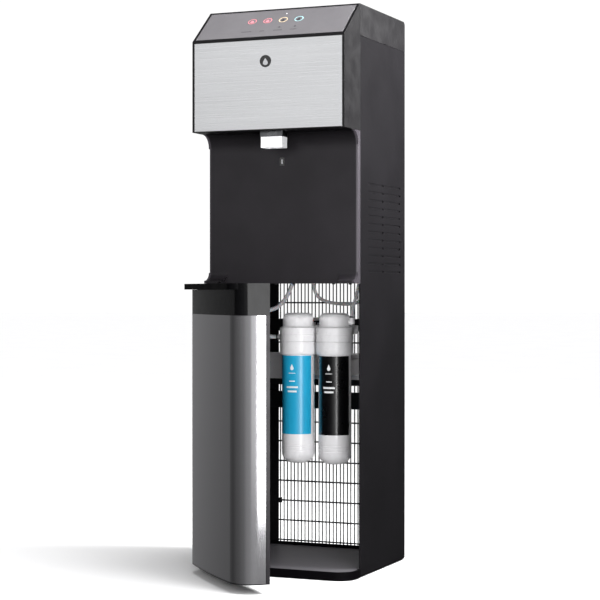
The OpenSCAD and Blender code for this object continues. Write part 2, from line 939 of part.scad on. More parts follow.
module light_rocker() {
    rocker(switch_xs[2], "#2c2c2e");
}

// Gland for the mains lead
module cord_gland() {
    color("#1b1b1d")
        difference() {
            union() {
                bar_y(gland_at[0], gland_at[1], 7, rear_cover_y - 6, rear_y + 2);
                bar_y(gland_at[0], gland_at[1], 10, rear_y, rear_y + 4);
                bar_y(gland_at[0], gland_at[1], 7.5, rear_y, rear_y + 14);
            }
            bar_y(gland_at[0], gland_at[1], 3.6, rear_cover_y - 8, rear_y + 16);
        }
}

// Push-in bulkhead fitting for the mains water tube
module water_inlet_fitting() {
    color("#dcdcda")
        difference() {
            union() {
                bar_y(inlet_at[0], inlet_at[1], 8, 226, inlet_end - 4);
                bar_y(inlet_at[0], inlet_at[1], 12, rear_y, rear_y + 6, 6);
                bar_y(inlet_at[0], inlet_at[1], 6.5, inlet_end - 5, inlet_end);
            }
            bar_y(inlet_at[0], inlet_at[1], inlet_bore_r, inlet_end - 18, inlet_end + 1);
        }
}

// Cap over the drain stub
module drain_cap() {
    color("#3a3a3c")
        difference() {
            union() {
                bar_y(drain_at[0], drain_at[1], 10, rear_y + 0.4, rear_y + 17);
                for (a = [0 : 30 : 330])
                    translate([drain_at[0] + 9.8 * cos(a), 0, drain_at[1] + 9.8 * sin(a)])
                        bar_y(0, 0, 1, rear_y + 3, rear_y + 16, 16);
            }
            bar_y(drain_at[0], drain_at[1], 7.08, rear_y, rear_y + 14.5);
        }
}

// ---- Filters ----

// Black bars across the back opening
module filter_crossbars() {
    color("#1a191b")
        for (z = [[441, 465], [334, 345.8], [288, 321]])
            difference() {
                box([-half_w + 3, 232, z[0]], [half_w - 3, cabinet_d - sheet_t, z[1]]);
                if (z[0] > 400)
                    bar_y(-28, (z[0] + z[1]) / 2 + 3.6, 1.5, 231, cabinet_d, coarse);
            }
}

// Light grey rail with a backing block behind each cartridge
module filter_rail() {
    color("#8d8b8c")
        union() {
            box([-half_w + 3, 230.5, 346], [half_w - 3, cabinet_d - sheet_t, 398]);
            for (x = filter_xs)
                box([x - 18, filter_y + filter_head_r + 0.6, 356], [x + 18, 231, 388]);
        }
}

// Fixed filter head with its arm to the upper bar, a socket for the valve core and its ports
module filter_head(x, port_side) {
    shoulder_z = head_top_z - 11;
    color("#dddcde")
        difference() {
            union() {
                translate([x, filter_y, 0])
                    rotate_extrude($fn = 96)
                        polygon(concat(
                            [[0, head_joint_z], [filter_head_r, head_joint_z],
                            [filter_head_r, head_joint_z + 25.5],
                            [filter_head_r - 1.6, head_joint_z + 27.2], [30.6, head_joint_z + 28.4]],
                            [[29.4, shoulder_z - 3]],
                            arc([18.4, shoulder_z], 11, 0, 90, 10),
                            [[0, head_top_z]]));
                box([x - 16, filter_y + 20, 436], [x + 16, 232, 453]);
                if (port_side < 0)
                    bar_x(filter_y, 431, 5.4, x - 42, x - 30, fine);
                if (port_side > 0) {
                    bar_x(filter_y, 461, 5.4, x + 24, x + 37, fine);
                    translate([x + 35, filter_y, 456])
                        cylinder(r = 5.4, h = 13, $fn = fine);
                }
                bar_y(x, 462, 5.4, filter_y + 20, filter_y + 30);
            }
            translate([x, filter_y, head_joint_z - 1])
                cylinder(r = core_bore_r, h = 22.8, $fn = 96);
        }
}

module filter_head_1() {
    filter_head(filter_xs[0], -1);
}

module filter_head_2() {
    filter_head(filter_xs[1], 1);
}

// Rotating valve core in a head. A quarter turn shuts it and frees the cartridge.
module filter_core(x) {
    color("#c9c9cc")
        translate([x, filter_y, head_joint_z + 0.4])
            difference() {
                cylinder(r = core_r, h = 21, $fn = 96);
                translate([0, 0, -1])
                    cylinder(r = neck_bore_r, h = 17.6, $fn = 96);
                translate([0, 0, 10])
                    cylinder(r = 4, h = 20, $fn = coarse);
            }
}

module filter_core_1() {
    filter_core(filter_xs[0]);
}

module filter_core_2() {
    filter_core(filter_xs[1]);
}

// Filter cartridge: neck with two seals, collar, body and ribbed lower cap
module cartridge(x) {
    collar_z = label_z + label_h + 1;
    color("#e4e3e5")
        translate([x, filter_y, 0])
            rotate_extrude($fn = 96)
                polygon(concat(
                    [[0, cartridge_low]],
                    arc([cap_r - 21, cartridge_low + 21], 21, 278, 360, 12),
                    [[cap_r, 215], [cap_r - 0.5, 215.6], [cap_r, 216.2], [cap_r, 220.4],
                    [cap_r - 0.5, 221], [cap_r, 221.6], [cap_r, label_z - 2],
                    [cartridge_r, label_z - 1], [cartridge_r, collar_z],
                    [filter_head_r - 0.2, collar_z + 2.4], [filter_head_r - 0.2, head_joint_z - 0.3],
                    [neck_r, head_joint_z - 0.3], [neck_r, head_joint_z + 16],
                    [0, head_joint_z + 16]]));
}

module cartridge_1() {
    cartridge(filter_xs[0]);
}

module cartridge_2() {
    cartridge(filter_xs[1]);
}

module cartridge_label(x, tint) {
    color(tint)
        translate([x, filter_y, label_z])
            difference() {
                cylinder(r = cartridge_r + label_t, h = label_h, $fn = 96);
                translate([0, 0, -1])
                    cylinder(r = cartridge_r, h = label_h + 2, $fn = 96);
            }
}

module cartridge_label_1() {
    cartridge_label(filter_xs[0], "#2fa5cf");
}

module cartridge_label_2() {
    cartridge_label(filter_xs[1], "#141416");
}

// Push-fit water tubes between the inlet, the valves, the filter heads and the outlets
module water_tubes() {
    color("#c9c8ca") {
        swept(supply_route, 4, 2, 10);
        swept(valve_route, 3.2, 2, 8, [1, 0, -3]);
        swept(outlet_route, 3.2, 2, 8, [1, 0.4, -3]);
        swept(link_route, 3.2, 2, 8, [0, 0, 1]);
        swept(inlet_route, 3.2, 2, 8, [1, 0.6, -0.4]);
        for (s = [1, -1])
            swept([for (p = spout_route) [s * p[0], p[1], p[2]]], 2.4, 2, 8, [1, 0, 0.3]);
    }
}

// ---- Door ----

// Carries the door from its closed place to where it stands
module door_place() {
    translate([hinge_x, hinge_y, 0])
        rotate([0, 0, -door_open])
            translate([-hinge_x, -hinge_y, 0])
                children();
}

// Front of the door at x, drawn in by inset
function door_crown(x, inset) = -door_front + inset + door_bow * pow(2 * x / door_w, 2);

// Slope angle of the crowned front at x
function door_slope(x) = atan(8 * door_bow * x / (door_w * door_w));

// One rounded corner of the door, on the side given by s
function door_corner(s, r, inset) =
    let (x = door_w / 2 - inset - r, a = door_slope(x), xt = x + r * sin(a),
        y = door_crown(xt, inset) + r * cos(a))
    arc([s * x, y], r, 270 + s * a, 270 + s * 90, 16);

// Plan of the door with its own corner radius on the hinge side and on the free side
module door_outline(inset, r_hinge, r_free) {
    x = door_w / 2 - inset;
    free = door_corner(1, r_free - inset, inset);
    hinge = door_corner(-1, r_hinge - inset, inset);
    x_free = free[0][0];
    x_hinge = hinge[0][0];
    front_steps = 24;
    polygon(concat(
        [for (i = [len(hinge) - 1 : -1 : 0]) hinge[i]],
        [for (i = [1 : front_steps - 1])
            let (fx = x_hinge + (x_free - x_hinge) * i / front_steps) [fx, door_crown(fx, inset)]],
        free,
        [[x, -door_gap - inset], [-x, -door_gap - inset]]));
}

// Keeps what lies between two depths of the closed door
module door_slice(y0, y1) {
    intersection() {
        children();
        translate([-door_w, y0])
            square([2 * door_w, y1 - y0]);
    }
}

// Inner panel of the door: a flanged tray with its edge showing round the skin
module door_liner() {
    color("#39373a")
        door_place()
            difference() {
                union() {
                    prism(door_low + door_trim_t, skin_top)
                        door_slice(skin_end + 1.2, 0)
                            door_outline(0, door_corner_r, door_corner_r);
                    prism(door_low + door_trim_t, skin_top)
                        door_slice(-45, 0)
                            door_outline(skin_t + 0.2, door_corner_r, door_corner_r);
                }
                prism(door_low + 15, skin_top - 12)
                    door_slice(-60, -door_gap - 3)
                        door_outline(4, door_corner_r, door_corner_r);
                translate([hinge_x, hinge_y, door_low - 1])
                    cylinder(r = hinge_r + hinge_fit, h = 12.5, $fn = fine);
            }
}

module door_skin() {
    color("#7d7c7f")
        door_place()
            prism(door_low + door_trim_t, skin_top)
                door_slice(-door_front - 5, skin_end)
                    difference() {
                        door_outline(0, door_corner_r, door_corner_r);
                        door_outline(skin_t, door_corner_r, door_corner_r);
                    }
}

// Plan of the drip tray: a wide lip with rounded corners in front of a narrower body. The slot
// for it runs on past the front by open.
module tray_outline(fit, open) {
    x = lip_half + fit;
    r = lip_corner_r;
    polygon(concat(
        arc([-x + r, tray_front - open + r], r, 180, 270, 12),
        arc([x - r, tray_front - open + r], r, 270, 360, 12),
        [[x, lip_back + fit], [tray_half + fit, lip_back + fit], [tray_half + fit, tray_back + fit],
        [-tray_half - fit, tray_back + fit], [-tray_half - fit, lip_back + fit],
        [-x, lip_back + fit]]));
}

// Black moulding above the skin, with the slot for the drip tray and the upper hinge socket
module door_top_cap() {
    color("#19181a")
        door_place()
            difference() {
                prism(skin_top, cap_top)
                    door_outline(0, door_corner_r, 20);
                prism(tray_low - tray_fit, cap_top + 1)
                    tray_outline(tray_fit, 20);
                box([catch_low[0] - 0.1, catch_low[1] - 0.1, cap_top - strike_t - 0.1],
                    [catch_high[0] + 0.1, catch_high[1] + 0.1, cap_top + 1]);
                prism(skin_top - 1, tray_low - 4)
                    intersection() {
                        door_outline(4, door_corner_r, 20);
                        translate([-118, -80])
                            square([280, 70]);
                    }
                translate([hinge_x, hinge_y, cap_top - 18])
                    cylinder(r = hinge_r + hinge_fit, h = 20, $fn = fine);
            }
}

// Thin black trim under the skin
module door_bottom_cap() {
    color("#1b1a1c")
        door_place()
            difference() {
                prism(door_low, door_low + door_trim_t)
                    door_outline(0, door_corner_r, door_corner_r);
                translate([hinge_x, hinge_y, door_low - 1])
                    cylinder(r = hinge_r + hinge_fit, h = 5, $fn = fine);
            }
}

// Upper pin, held in the alcove lip, and lower pin, held in the plinth
module hinge_pins() {
    color("#b4b5b8")
        translate([hinge_x, hinge_y, 0]) {
            translate([0, 0, plinth_z + 3])
                cylinder(r = hinge_r, h = door_low + 10 - plinth_z - 3, $fn = fine);
            translate([0, 0, cap_top - 16])
                cylinder(r = hinge_r, h = alcove_low + pin_reach - cap_top + 16, $fn = fine);
        }
}

// Steel plate let into the top of the door cap, under the magnetic catch
module strike_plate() {
    color("#a4a5a8")
        door_place()
            box([catch_low[0], catch_low[1], cap_top - strike_t],
                [catch_high[0], catch_high[1], cap_top]);
}

// Magnet in the underside of the alcove's right lip
module magnetic_catch() {
    color("#232325")
        box([catch_low[0], catch_low[1], alcove_low],
            [catch_high[0], catch_high[1], alcove_low + catch_t]);
}

// Shallow tray that slides forward out of the door cap
module drip_tray() {
    color("#17161a")
        door_place()
            difference() {
                prism(tray_low, cap_top)
                    tray_outline(0, 0);
                box([-tray_half + 8, -66, cap_top - 3.6], [tray_half - 8, tray_back - 4, cap_top + 1]);
                box([-tray_half + 11, -63, tray_low + 2], [tray_half - 11, tray_back - 7, cap_top]);
            }
}

// Slotted grid over the tray
module drip_grid() {
    slot_pitch = 9;
    color("#26252a")
        door_place()
            difference() {
                box([-tray_half + 8.3, -65.7, cap_top - 3.6], [tray_half - 8.3, tray_back - 4.3,
                    grid_top]);
                for (i = [-12 : 12])
                    box([i * slot_pitch - 2, -60, cap_top - 5], [i * slot_pitch + 2, tray_back - 10,
                        cap_top + 1]);
            }
}

base_plinth();
rubber_feet();
floor_pan();
left_side_panel();
right_side_panel();
top_cover();
rear_cover();
rear_screws();
head_shell();
stainless_fascia();
fascia_badge();
control_panel();
touch_lenses();
control_board();
alcove_panel();
cup_sensor();
nozzle_collar();
nozzle_shroud();
water_spouts();
mid_deck();
compressor();
compressor_mounts();
condenser_tube();
condenser_wires();
condenser_clips();
refrigerant_lines();
cold_tank();
tank_float();
evaporator_coil();
hot_tank();
tank_insulation();
solenoid_valves();
power_board();
switch_bezel();
hot_rocker();
cold_rocker();
light_rocker();
cord_gland();
water_inlet_fitting();
drain_cap();
filter_crossbars();
filter_rail();
filter_head_1();
filter_head_2();
filter_core_1();
filter_core_2();
cartridge_1();
cartridge_2();
cartridge_label_1();
cartridge_label_2();
water_tubes();
door_liner();
door_skin();
door_top_cap();
door_bottom_cap();
hinge_pins();
strike_plate();
magnetic_catch();
drip_tray();
drip_grid();
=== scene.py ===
"""Looks of a bottleless water cooler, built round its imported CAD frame.

Everything is in metres in the frame of the CAD model: X to the right, Y to the back, Z up.
Helpers that take millimetres say so, and convert with MM.
"""

import json
import math

import bmesh
import bpy
from mathutils import Matrix, Vector

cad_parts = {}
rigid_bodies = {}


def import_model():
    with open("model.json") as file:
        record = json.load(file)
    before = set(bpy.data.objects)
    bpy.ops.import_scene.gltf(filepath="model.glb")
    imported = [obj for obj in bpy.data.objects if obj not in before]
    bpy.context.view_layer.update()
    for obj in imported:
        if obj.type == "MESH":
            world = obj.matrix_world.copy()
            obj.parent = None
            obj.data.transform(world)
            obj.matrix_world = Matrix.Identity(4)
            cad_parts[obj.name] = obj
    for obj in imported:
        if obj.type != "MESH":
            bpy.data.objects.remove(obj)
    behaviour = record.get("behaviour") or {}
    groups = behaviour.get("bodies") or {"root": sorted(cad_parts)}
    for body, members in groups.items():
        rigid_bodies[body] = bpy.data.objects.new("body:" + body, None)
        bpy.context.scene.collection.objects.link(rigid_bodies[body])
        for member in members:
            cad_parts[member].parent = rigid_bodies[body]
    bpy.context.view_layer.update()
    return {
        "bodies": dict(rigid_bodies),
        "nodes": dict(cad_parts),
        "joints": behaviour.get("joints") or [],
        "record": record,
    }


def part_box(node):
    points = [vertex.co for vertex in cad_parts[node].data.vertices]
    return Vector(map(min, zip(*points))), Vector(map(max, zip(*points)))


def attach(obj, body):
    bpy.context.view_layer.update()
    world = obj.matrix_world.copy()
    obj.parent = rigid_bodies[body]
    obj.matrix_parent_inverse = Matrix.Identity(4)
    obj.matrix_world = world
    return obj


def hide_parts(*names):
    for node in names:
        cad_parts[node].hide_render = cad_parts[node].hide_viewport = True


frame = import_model()
NODES = frame["nodes"]
MM = 0.001

# ---- Camera ----

EYE = Vector((1.2697, -2.9107, 0.5186))
EYE_TURN = math.radians(23.05)
EYE_LENS = 103.39
EYE_SHIFT = -0.0139


def make_camera():
    data = bpy.data.cameras.new("camera")
    data.lens = EYE_LENS
    data.sensor_width = 36
    data.shift_y = EYE_SHIFT
    data.clip_end = 100
    camera = bpy.data.objects.new("camera", data)
    camera.location = EYE
    camera.rotation_euler = (math.radians(90), 0, EYE_TURN)
    bpy.context.scene.collection.objects.link(camera)
    bpy.context.scene.camera = camera


make_camera()

# ---- Materials ----


def colour(code):
    """Linear colour of a six-digit code of red, green and blue."""
    parts = [int(code[i:i + 2], 16) / 255 for i in (0, 2, 4)]
    linear = [c / 12.92 if c <= 0.04045 else ((c + 0.055) / 1.055) ** 2.4 for c in parts]
    return (*linear, 1.0)


def scaled(tone, factor):
    return (*[min(1.0, c * factor) for c in tone[:3]], 1.0)


class Finish:
    """A Principled material whose pattern is laid out in the object's own space."""

    def __init__(self, name, roughness=0.5, metallic=0.0, **sockets):
        self.material = bpy.data.materials.new(name)
        self.material.use_nodes = True
        self.tree = self.material.node_tree
        self.shader = self.tree.nodes["Principled BSDF"]
        self.shader.inputs["Roughness"].default_value = roughness
        self.shader.inputs["Metallic"].default_value = metallic
        for socket, value in sockets.items():
            self.shader.inputs[socket.replace("_", " ")].default_value = value
        self.place = self.add("ShaderNodeTexCoord").outputs["Object"]

    def add(self, kind, **values):
        node = self.tree.nodes.new(kind)
        for key, value in values.items():
            setattr(node, key, value)
        return node

    def link(self, source, target):
        self.tree.links.new(source, target)
        return self

    def stretched(self, scale):
        node = self.add("ShaderNodeMapping")
        node.inputs["Scale"].default_value = scale
        self.link(self.place, node.inputs["Vector"])
        return node.outputs["Vector"]

    def noise(self, scale, detail=3.0, roughness=0.5, vector=None):
        node = self.add("ShaderNodeTexNoise")
        node.inputs["Scale"].default_value = scale
        node.inputs["Detail"].default_value = detail
        node.inputs["Roughness"].default_value = roughness
        self.link(vector or self.place, node.inputs["Vector"])
        return node.outputs["Fac"]

    def cells(self, scale, vector=None):
        node = self.add("ShaderNodeTexVoronoi", feature="F1")
        node.inputs["Scale"].default_value = scale
        self.link(vector or self.place, node.inputs["Vector"])
        return node.outputs["Distance"]

    def spread(self, value, low, high, start=0.3, end=0.7):
        """value, from start to end, as a number from low to high."""
        node = self.add("ShaderNodeMapRange")
        for key, number in (("From Min", start), ("From Max", end),
                            ("To Min", low), ("To Max", high)):
            node.inputs[key].default_value = number
        self.link(value, node.inputs["Value"])
        return node.outputs["Result"]

    def maths(self, operation, a, b):
        node = self.add("ShaderNodeMath", operation=operation)
        for socket, value in zip(node.inputs, (a, b)):
            if isinstance(value, (int, float)):
                socket.default_value = value
            else:
                self.link(value, socket)
        return node.outputs[0]

    def axis(self, name):
        node = self.add("ShaderNodeSeparateXYZ")
        self.link(self.place, node.inputs[0])
        return node.outputs[name]

    def tones(self, value, stops, constant=False):
        """A colour ramp over value, with (place, colour) stops."""
        node = self.add("ShaderNodeValToRGB")
        ramp = node.color_ramp
        ramp.interpolation = "CONSTANT" if constant else "EASE"
        while len(ramp.elements) < len(stops):
            ramp.elements.new(0.5)
        for element, (place, tone) in zip(ramp.elements, stops):
            element.position = place
            element.color = tone
        self.link(value, node.inputs["Fac"])
        return node.outputs["Color"]

    def mixed(self, factor, a, b, blend="MIX"):
        node = self.add("ShaderNodeMix", data_type="RGBA", blend_type=blend)
        for index, value in ((0, factor), (6, a), (7, b)):
            if isinstance(value, (int, float, tuple)):
                node.inputs[index].default_value = value
            else:
                self.link(value, node.inputs[index])
        return node.outputs[2]

    def bump(self, height, distance, strength=1.0, under=None):
        node = self.add("ShaderNodeBump")
        node.inputs["Distance"].default_value = distance
        node.inputs["Strength"].default_value = strength
        self.link(height, node.inputs["Height"])
        if under:
            self.link(under, node.inputs["Normal"])
        return node.outputs["Normal"]

    def set(self, **links):
        for socket, source in links.items():
            self.link(source, self.shader.inputs[socket.replace("_", " ")])
        return self.material


def moulded(name, code, roughness, grain=0.00003, grain_size=1500, variation=0.12, **sockets):
    """Moulded plastic: a fine etched grain, a slightly uneven sheen and faint flow marks."""
    f = Finish(name, **sockets)
    tone = colour(code)
    flow = f.noise(9, 4)
    cloud = f.noise(38, 3)
    base = f.tones(flow, [(0.3, scaled(tone, 1 - variation)), (0.7, scaled(tone, 1 + variation))])
    return f.set(
        Base_Color=base,
        Roughness=f.spread(cloud, roughness - 0.05, roughness + 0.05),
        Normal=f.bump(f.noise(grain_size, 2), grain, 0.6))


def painted(name, code, roughness, variation=0.1, **sockets):
    """Powder-coated sheet: orange peel, fine speckle and a slightly uneven sheen."""
    f = Finish(name, **sockets)
    tone = colour(code)
    speckle = f.noise(2600, 1)
    cloud = f.noise(7, 5)
    base = f.tones(cloud, [(0.3, scaled(tone, 1 - variation)), (0.7, scaled(tone, 1 + variation))])
    flecks = f.spread(speckle, 0.86, 1.14)
    shade = f.mixed(1.0, base, flecks, "MULTIPLY")
    peel = f.bump(f.noise(420, 2), 0.00006, 0.35)
    return f.set(
        Base_Color=shade,
        Roughness=f.spread(cloud, roughness - 0.04, roughness + 0.05),
        Normal=f.bump(speckle, 0.00002, 0.4, peel))


def brushed(name, code, roughness, grain=(7, 7, 1900), depth=0.00002, contrast=0.1, **sockets):
    """Brushed metal: long fine scratches along the brushing, in three widths, and soft patches."""
    f = Finish(name, metallic=1.0, **sockets)
    tone = colour(code)
    fine = f.noise(1, 4, 0.7, f.stretched(grain))
    wide = f.noise(1, 3, 0.6, f.stretched(tuple(g * 0.3 for g in grain)))
    patch = f.noise(1, 4, 0.6, f.stretched(tuple(g * s for g, s in zip(grain, (0.9, 0.9, 0.02)))))
    lines = f.maths("ADD", f.maths("MULTIPLY", fine, 0.65), f.maths("MULTIPLY", wide, 0.35))
    streaks = f.tones(lines, [(0.3, scaled(tone, 1 - contrast)), (0.7, scaled(tone, 1 + contrast))])
    clouds = f.spread(patch, 1 - contrast * 0.5, 1 + contrast * 0.4)
    return f.set(
        Base_Color=f.mixed(1.0, streaks, clouds, "MULTIPLY"),
        Roughness=f.spread(lines, roughness - 0.07, roughness + 0.07),
        Normal=f.bump(lines, depth, 1.0))


def plated(name, code, roughness=0.12):
    """Polished or plated metal with fine handling marks."""
    f = Finish(name, metallic=1.0)
    tone = colour(code)
    haze = f.noise(60, 5, 0.6)
    return f.set(
        Base_Color=f.tones(haze, [(0.3, scaled(tone, 0.94)), (0.7, scaled(tone, 1.03))]),
        Roughness=f.spread(haze, roughness * 0.7, roughness * 1.5),
        Normal=f.bump(f.noise(900, 2), 0.000006, 0.5))


def drawn_copper(name):
    f = Finish(name, metallic=1.0)
    stain = f.noise(70, 6, 0.65)
    return f.set(
        Base_Color=f.tones(stain, [(0.3, colour("7a3f24")), (0.55, colour("c0713f")),
                                   (0.8, colour("dc9560"))]),
        Roughness=f.spread(stain, 0.22, 0.45),
        Normal=f.bump(f.noise(500, 3), 0.00003, 0.5))


def foamed(name, code):
    f = Finish(name, 0.9)
    tone = colour(code)
    pores = f.cells(420)
    return f.set(
        Base_Color=f.tones(pores, [(0.1, scaled(tone, 0.72)), (0.5, tone)]),
        Normal=f.bump(pores, 0.0006, 0.7))


def circuit(name):
    """Solder mask with copper tracks showing through it."""
    f = Finish(name, 0.35, Coat_Weight=0.4)
    tracks = f.noise(160, 1, 0.2)
    mask, track = colour("0f4a2a"), colour("2c7a49")
    return f.set(
        Base_Color=f.tones(tracks, [(0.46, mask), (0.5, track), (0.54, mask)]),
        Normal=f.bump(tracks, 0.00005, 0.4))


def rubbery(name, code):
    f = Finish(name)
    tone = colour(code)
    dust = f.noise(120, 6, 0.7)
    return f.set(
        Base_Color=f.tones(dust, [(0.35, tone), (0.75, scaled(tone, 1.8))]),
        Roughness=f.spread(dust, 0.7, 0.88),
        Normal=f.bump(f.noise(700, 3), 0.00008, 0.6))


def tubing(name, code):
    """Soft plastic tube: waxy, a little see-through, with faint drawing lines."""
    f = Finish(name, 0.36, Subsurface_Weight=0.25, Subsurface_Scale=0.003, Coat_Weight=0.15)
    tone = colour(code)
    milk = f.noise(90, 3)
    return f.set(
        Base_Color=f.tones(milk, [(0.3, scaled(tone, 0.9)), (0.7, scaled(tone, 1.06))]),
        Normal=f.bump(f.noise(800, 2), 0.00002, 0.5))


def glowing(name, code, strength):
    """Lit plastic, brighter where the light source is behind it."""
    f = Finish(name, 0.3, Emission_Strength=strength)
    tone = colour(code)
    hot = f.noise(260, 2)
    lit = f.tones(hot, [(0.3, scaled(tone, 0.85)), (0.7, scaled(tone, 1.1))])
    return f.set(Base_Color=lit, Emission_Color=lit)


HEAD_PLASTIC = moulded("head_plastic", "0f0e10", 0.4, Specular_IOR_Level=0.3)
COVER_PLASTIC = moulded("cover_plastic", "111012", 0.45, Specular_IOR_Level=0.3)
PLINTH_PLASTIC = moulded("plinth_plastic", "050406", 0.55, IOR=1.2, Specular_IOR_Level=0.25)
CAP_PLASTIC = moulded("cap_plastic", "040405", 0.22, IOR=1.28)
LINER_PLASTIC = moulded("liner_plastic", "1c1a1d", 0.4, Specular_IOR_Level=0.3)
TRAY_PLASTIC = moulded("tray_plastic", "040405", 0.5, IOR=1.12)
SWITCH_PLASTIC = moulded("switch_plastic", "18181a", 0.42)
VALVE_PLASTIC = moulded("valve_plastic", "3a3f47", 0.5)
RAIL_PLASTIC = moulded("rail_plastic", "cfcdce", 0.5)
WHITE_PLASTIC = moulded("white_plastic", "e9e8ea", 0.3, 0.00001, variation=0.02, Coat_Weight=0.2)
CORE_PLASTIC = moulded("core_plastic", "c4c4c8", 0.38, variation=0.03)
FITTING_PLASTIC = moulded("fitting_plastic", "e2e1df", 0.36, variation=0.03)
FLOAT_PLASTIC = moulded("float_plastic", "e4dfd2", 0.5, variation=0.04)
PANEL_PAINT = painted("panel_paint", "131214", 0.46, IOR=1.22, Specular_IOR_Level=0.3)
FLOOR_PAINT = painted("floor_paint", "545256", 0.42)
REAR_PAINT = painted("rear_paint", "1c1b1e", 0.46, Specular_IOR_Level=0.3)
BAR_PAINT = painted("bar_paint", "0d0c0f", 0.46, Specular_IOR_Level=0.3)
CONDENSER_PAINT = painted("condenser_paint", "121114", 0.4)
COMPRESSOR_PAINT = painted("compressor_paint", "141416", 0.25, Coat_Weight=0.5)
FASCIA_STEEL = brushed("fascia_steel", "e6e7e9", 0.30, depth=0.000009, contrast=0.045)
DOOR_STEEL = brushed("door_steel", "d0cfd2", 0.2, (4, 4, 2600), 0.000003, 0.02)
TANK_STEEL = brushed("tank_steel", "c9cacc", 0.3, (300, 300, 12))
DECK_ZINC = brushed("deck_zinc", "8d8f92", 0.42, (40, 40, 40), contrast=0.16)
SPOUT_STEEL = plated("spout_steel", "d8d9dc", 0.18)
SCREW_STEEL = plated("screw_steel", "b9babd", 0.22)
NOZZLE_SATIN = moulded("nozzle_satin", "f4f4f6", 0.3, 0.00001, variation=0.02, Metallic=0.35)
COLLAR_SILVER = plated("collar_silver", "747578", 0.3)
COPPER = drawn_copper("copper")
FOAM = foamed("foam", "ddd8c6")
BOARD = circuit("board")
RUBBER = rubbery("rubber", "1c1c1d")
TUBE_PLASTIC = tubing("tube_plastic", "bdbcbf")
BADGE_BLACK = moulded("badge_black", "0b0b0d", 0.2, 0.00001, Coat_Weight=0.4)
BADGE_SILVER = plated("badge_silver", "d0d1d4", 0.2)
SENSOR_BLACK = moulded("sensor_black", "0b0b0c", 0.16, 0.000005, Coat_Weight=0.5)
SENSOR_WINDOW = moulded("sensor_window", "8c8c8f", 0.2, 0.000005, Coat_Weight=0.5)
RED_ROCKER = moulded("red_rocker", "a31a20", 0.3, Coat_Weight=0.2)
BLUE_ROCKER = moulded("blue_rocker", "1f4c9c", 0.3, Coat_Weight=0.2)
LABEL_BLUE = moulded("label_blue", "20a6d2", 0.34, 0.000004, variation=0.03,
                     Coat_Weight=0.5, Coat_Roughness=0.24)
LABEL_BLACK = moulded("label_black", "08080a", 0.3, 0.000004, variation=0.1,
                      Coat_Weight=0.8, Coat_Roughness=0.2)
PRINT_WHITE = moulded("print_white", "f2f4f6", 0.4, 0.000004, variation=0.02)
PRINT_DARK = moulded("print_dark", "39373b", 0.4, 0.000004, variation=0.05)
LIT_RED = glowing("lit_red", "e0808a", 0.36)
LIT_AMBER = glowing("lit_amber", "ecd2a8", 0.4)
LIT_CYAN = glowing("lit_cyan", "a9dde2", 0.4)
LIT_WHITE = glowing("lit_white", "ffffff", 0.9)


def touch_panel(name):
    """Light grey lacquer behind a thin hard coat."""
    f = Finish(name, Coat_Weight=0.5, Coat_Roughness=0.12)
    cloud = f.noise(5, 3)
    return f.set(
        Base_Color=f.tones(cloud, [(0.3, colour("676568")), (0.7, colour("716f72"))]),
        Roughness=f.spread(f.noise(60, 3), 0.34, 0.44),
        Normal=f.bump(f.noise(2400, 2), 0.000006, 0.5))


# Painted shade darkens the alcove's colour over these heights under the head, and a painted
# highlight makes its rolled side edges in this X range paler.
ALCOVE_PAINTED_SHADE_HEIGHTS = (0.775, 0.82)
ALCOVE_PAINTED_HIGHLIGHT_EDGE = (0.1445, 0.1462)


def alcove_moulding(name, code, roughness, low, high):
    """Moulded plastic with painted shade, darker and less glossy from low up to high under the head,
    and a painted highlight that makes its rolled side edges paler.
    """
    f = Finish(name)
    tone = colour(code)
    height = f.axis("Z")
    rise = f.spread(height, 0, 1, low, high)
    flow = f.noise(9, 4)
    base = f.tones(flow, [(0.3, scaled(tone, 0.88)), (0.7, scaled(tone, 1.12))])
    # Painted highlight: the rolled side edges are made three times paler.
    rim = f.spread(f.maths("ABSOLUTE", f.axis("X"), 0), 0, 1, *ALCOVE_PAINTED_HIGHLIGHT_EDGE)
    # Painted shade: the colour darkens to about a seventh towards the top, under the head.
    shade = f.mixed(rise, base, scaled(tone, 0.15))
    return f.set(
        Base_Color=f.mixed(rim, shade, scaled(tone, 3.0)),
        # Painted shade also lowers the specular level towards the top.
        Specular_IOR_Level=f.spread(rise, 0.25, 0.02, 0, 1),
        Roughness=f.spread(f.noise(38, 3), roughness - 0.05, roughness + 0.05),
        Normal=f.bump(f.noise(1500, 2), 0.00003, 0.6))


PANEL_LACQUER = touch_panel("panel_lacquer")
ALCOVE_PLASTIC = alcove_moulding("alcove_plastic", "1d1b1e", 0.42, *ALCOVE_PAINTED_SHADE_HEIGHTS)

# ---- CAD nodes that stay ----

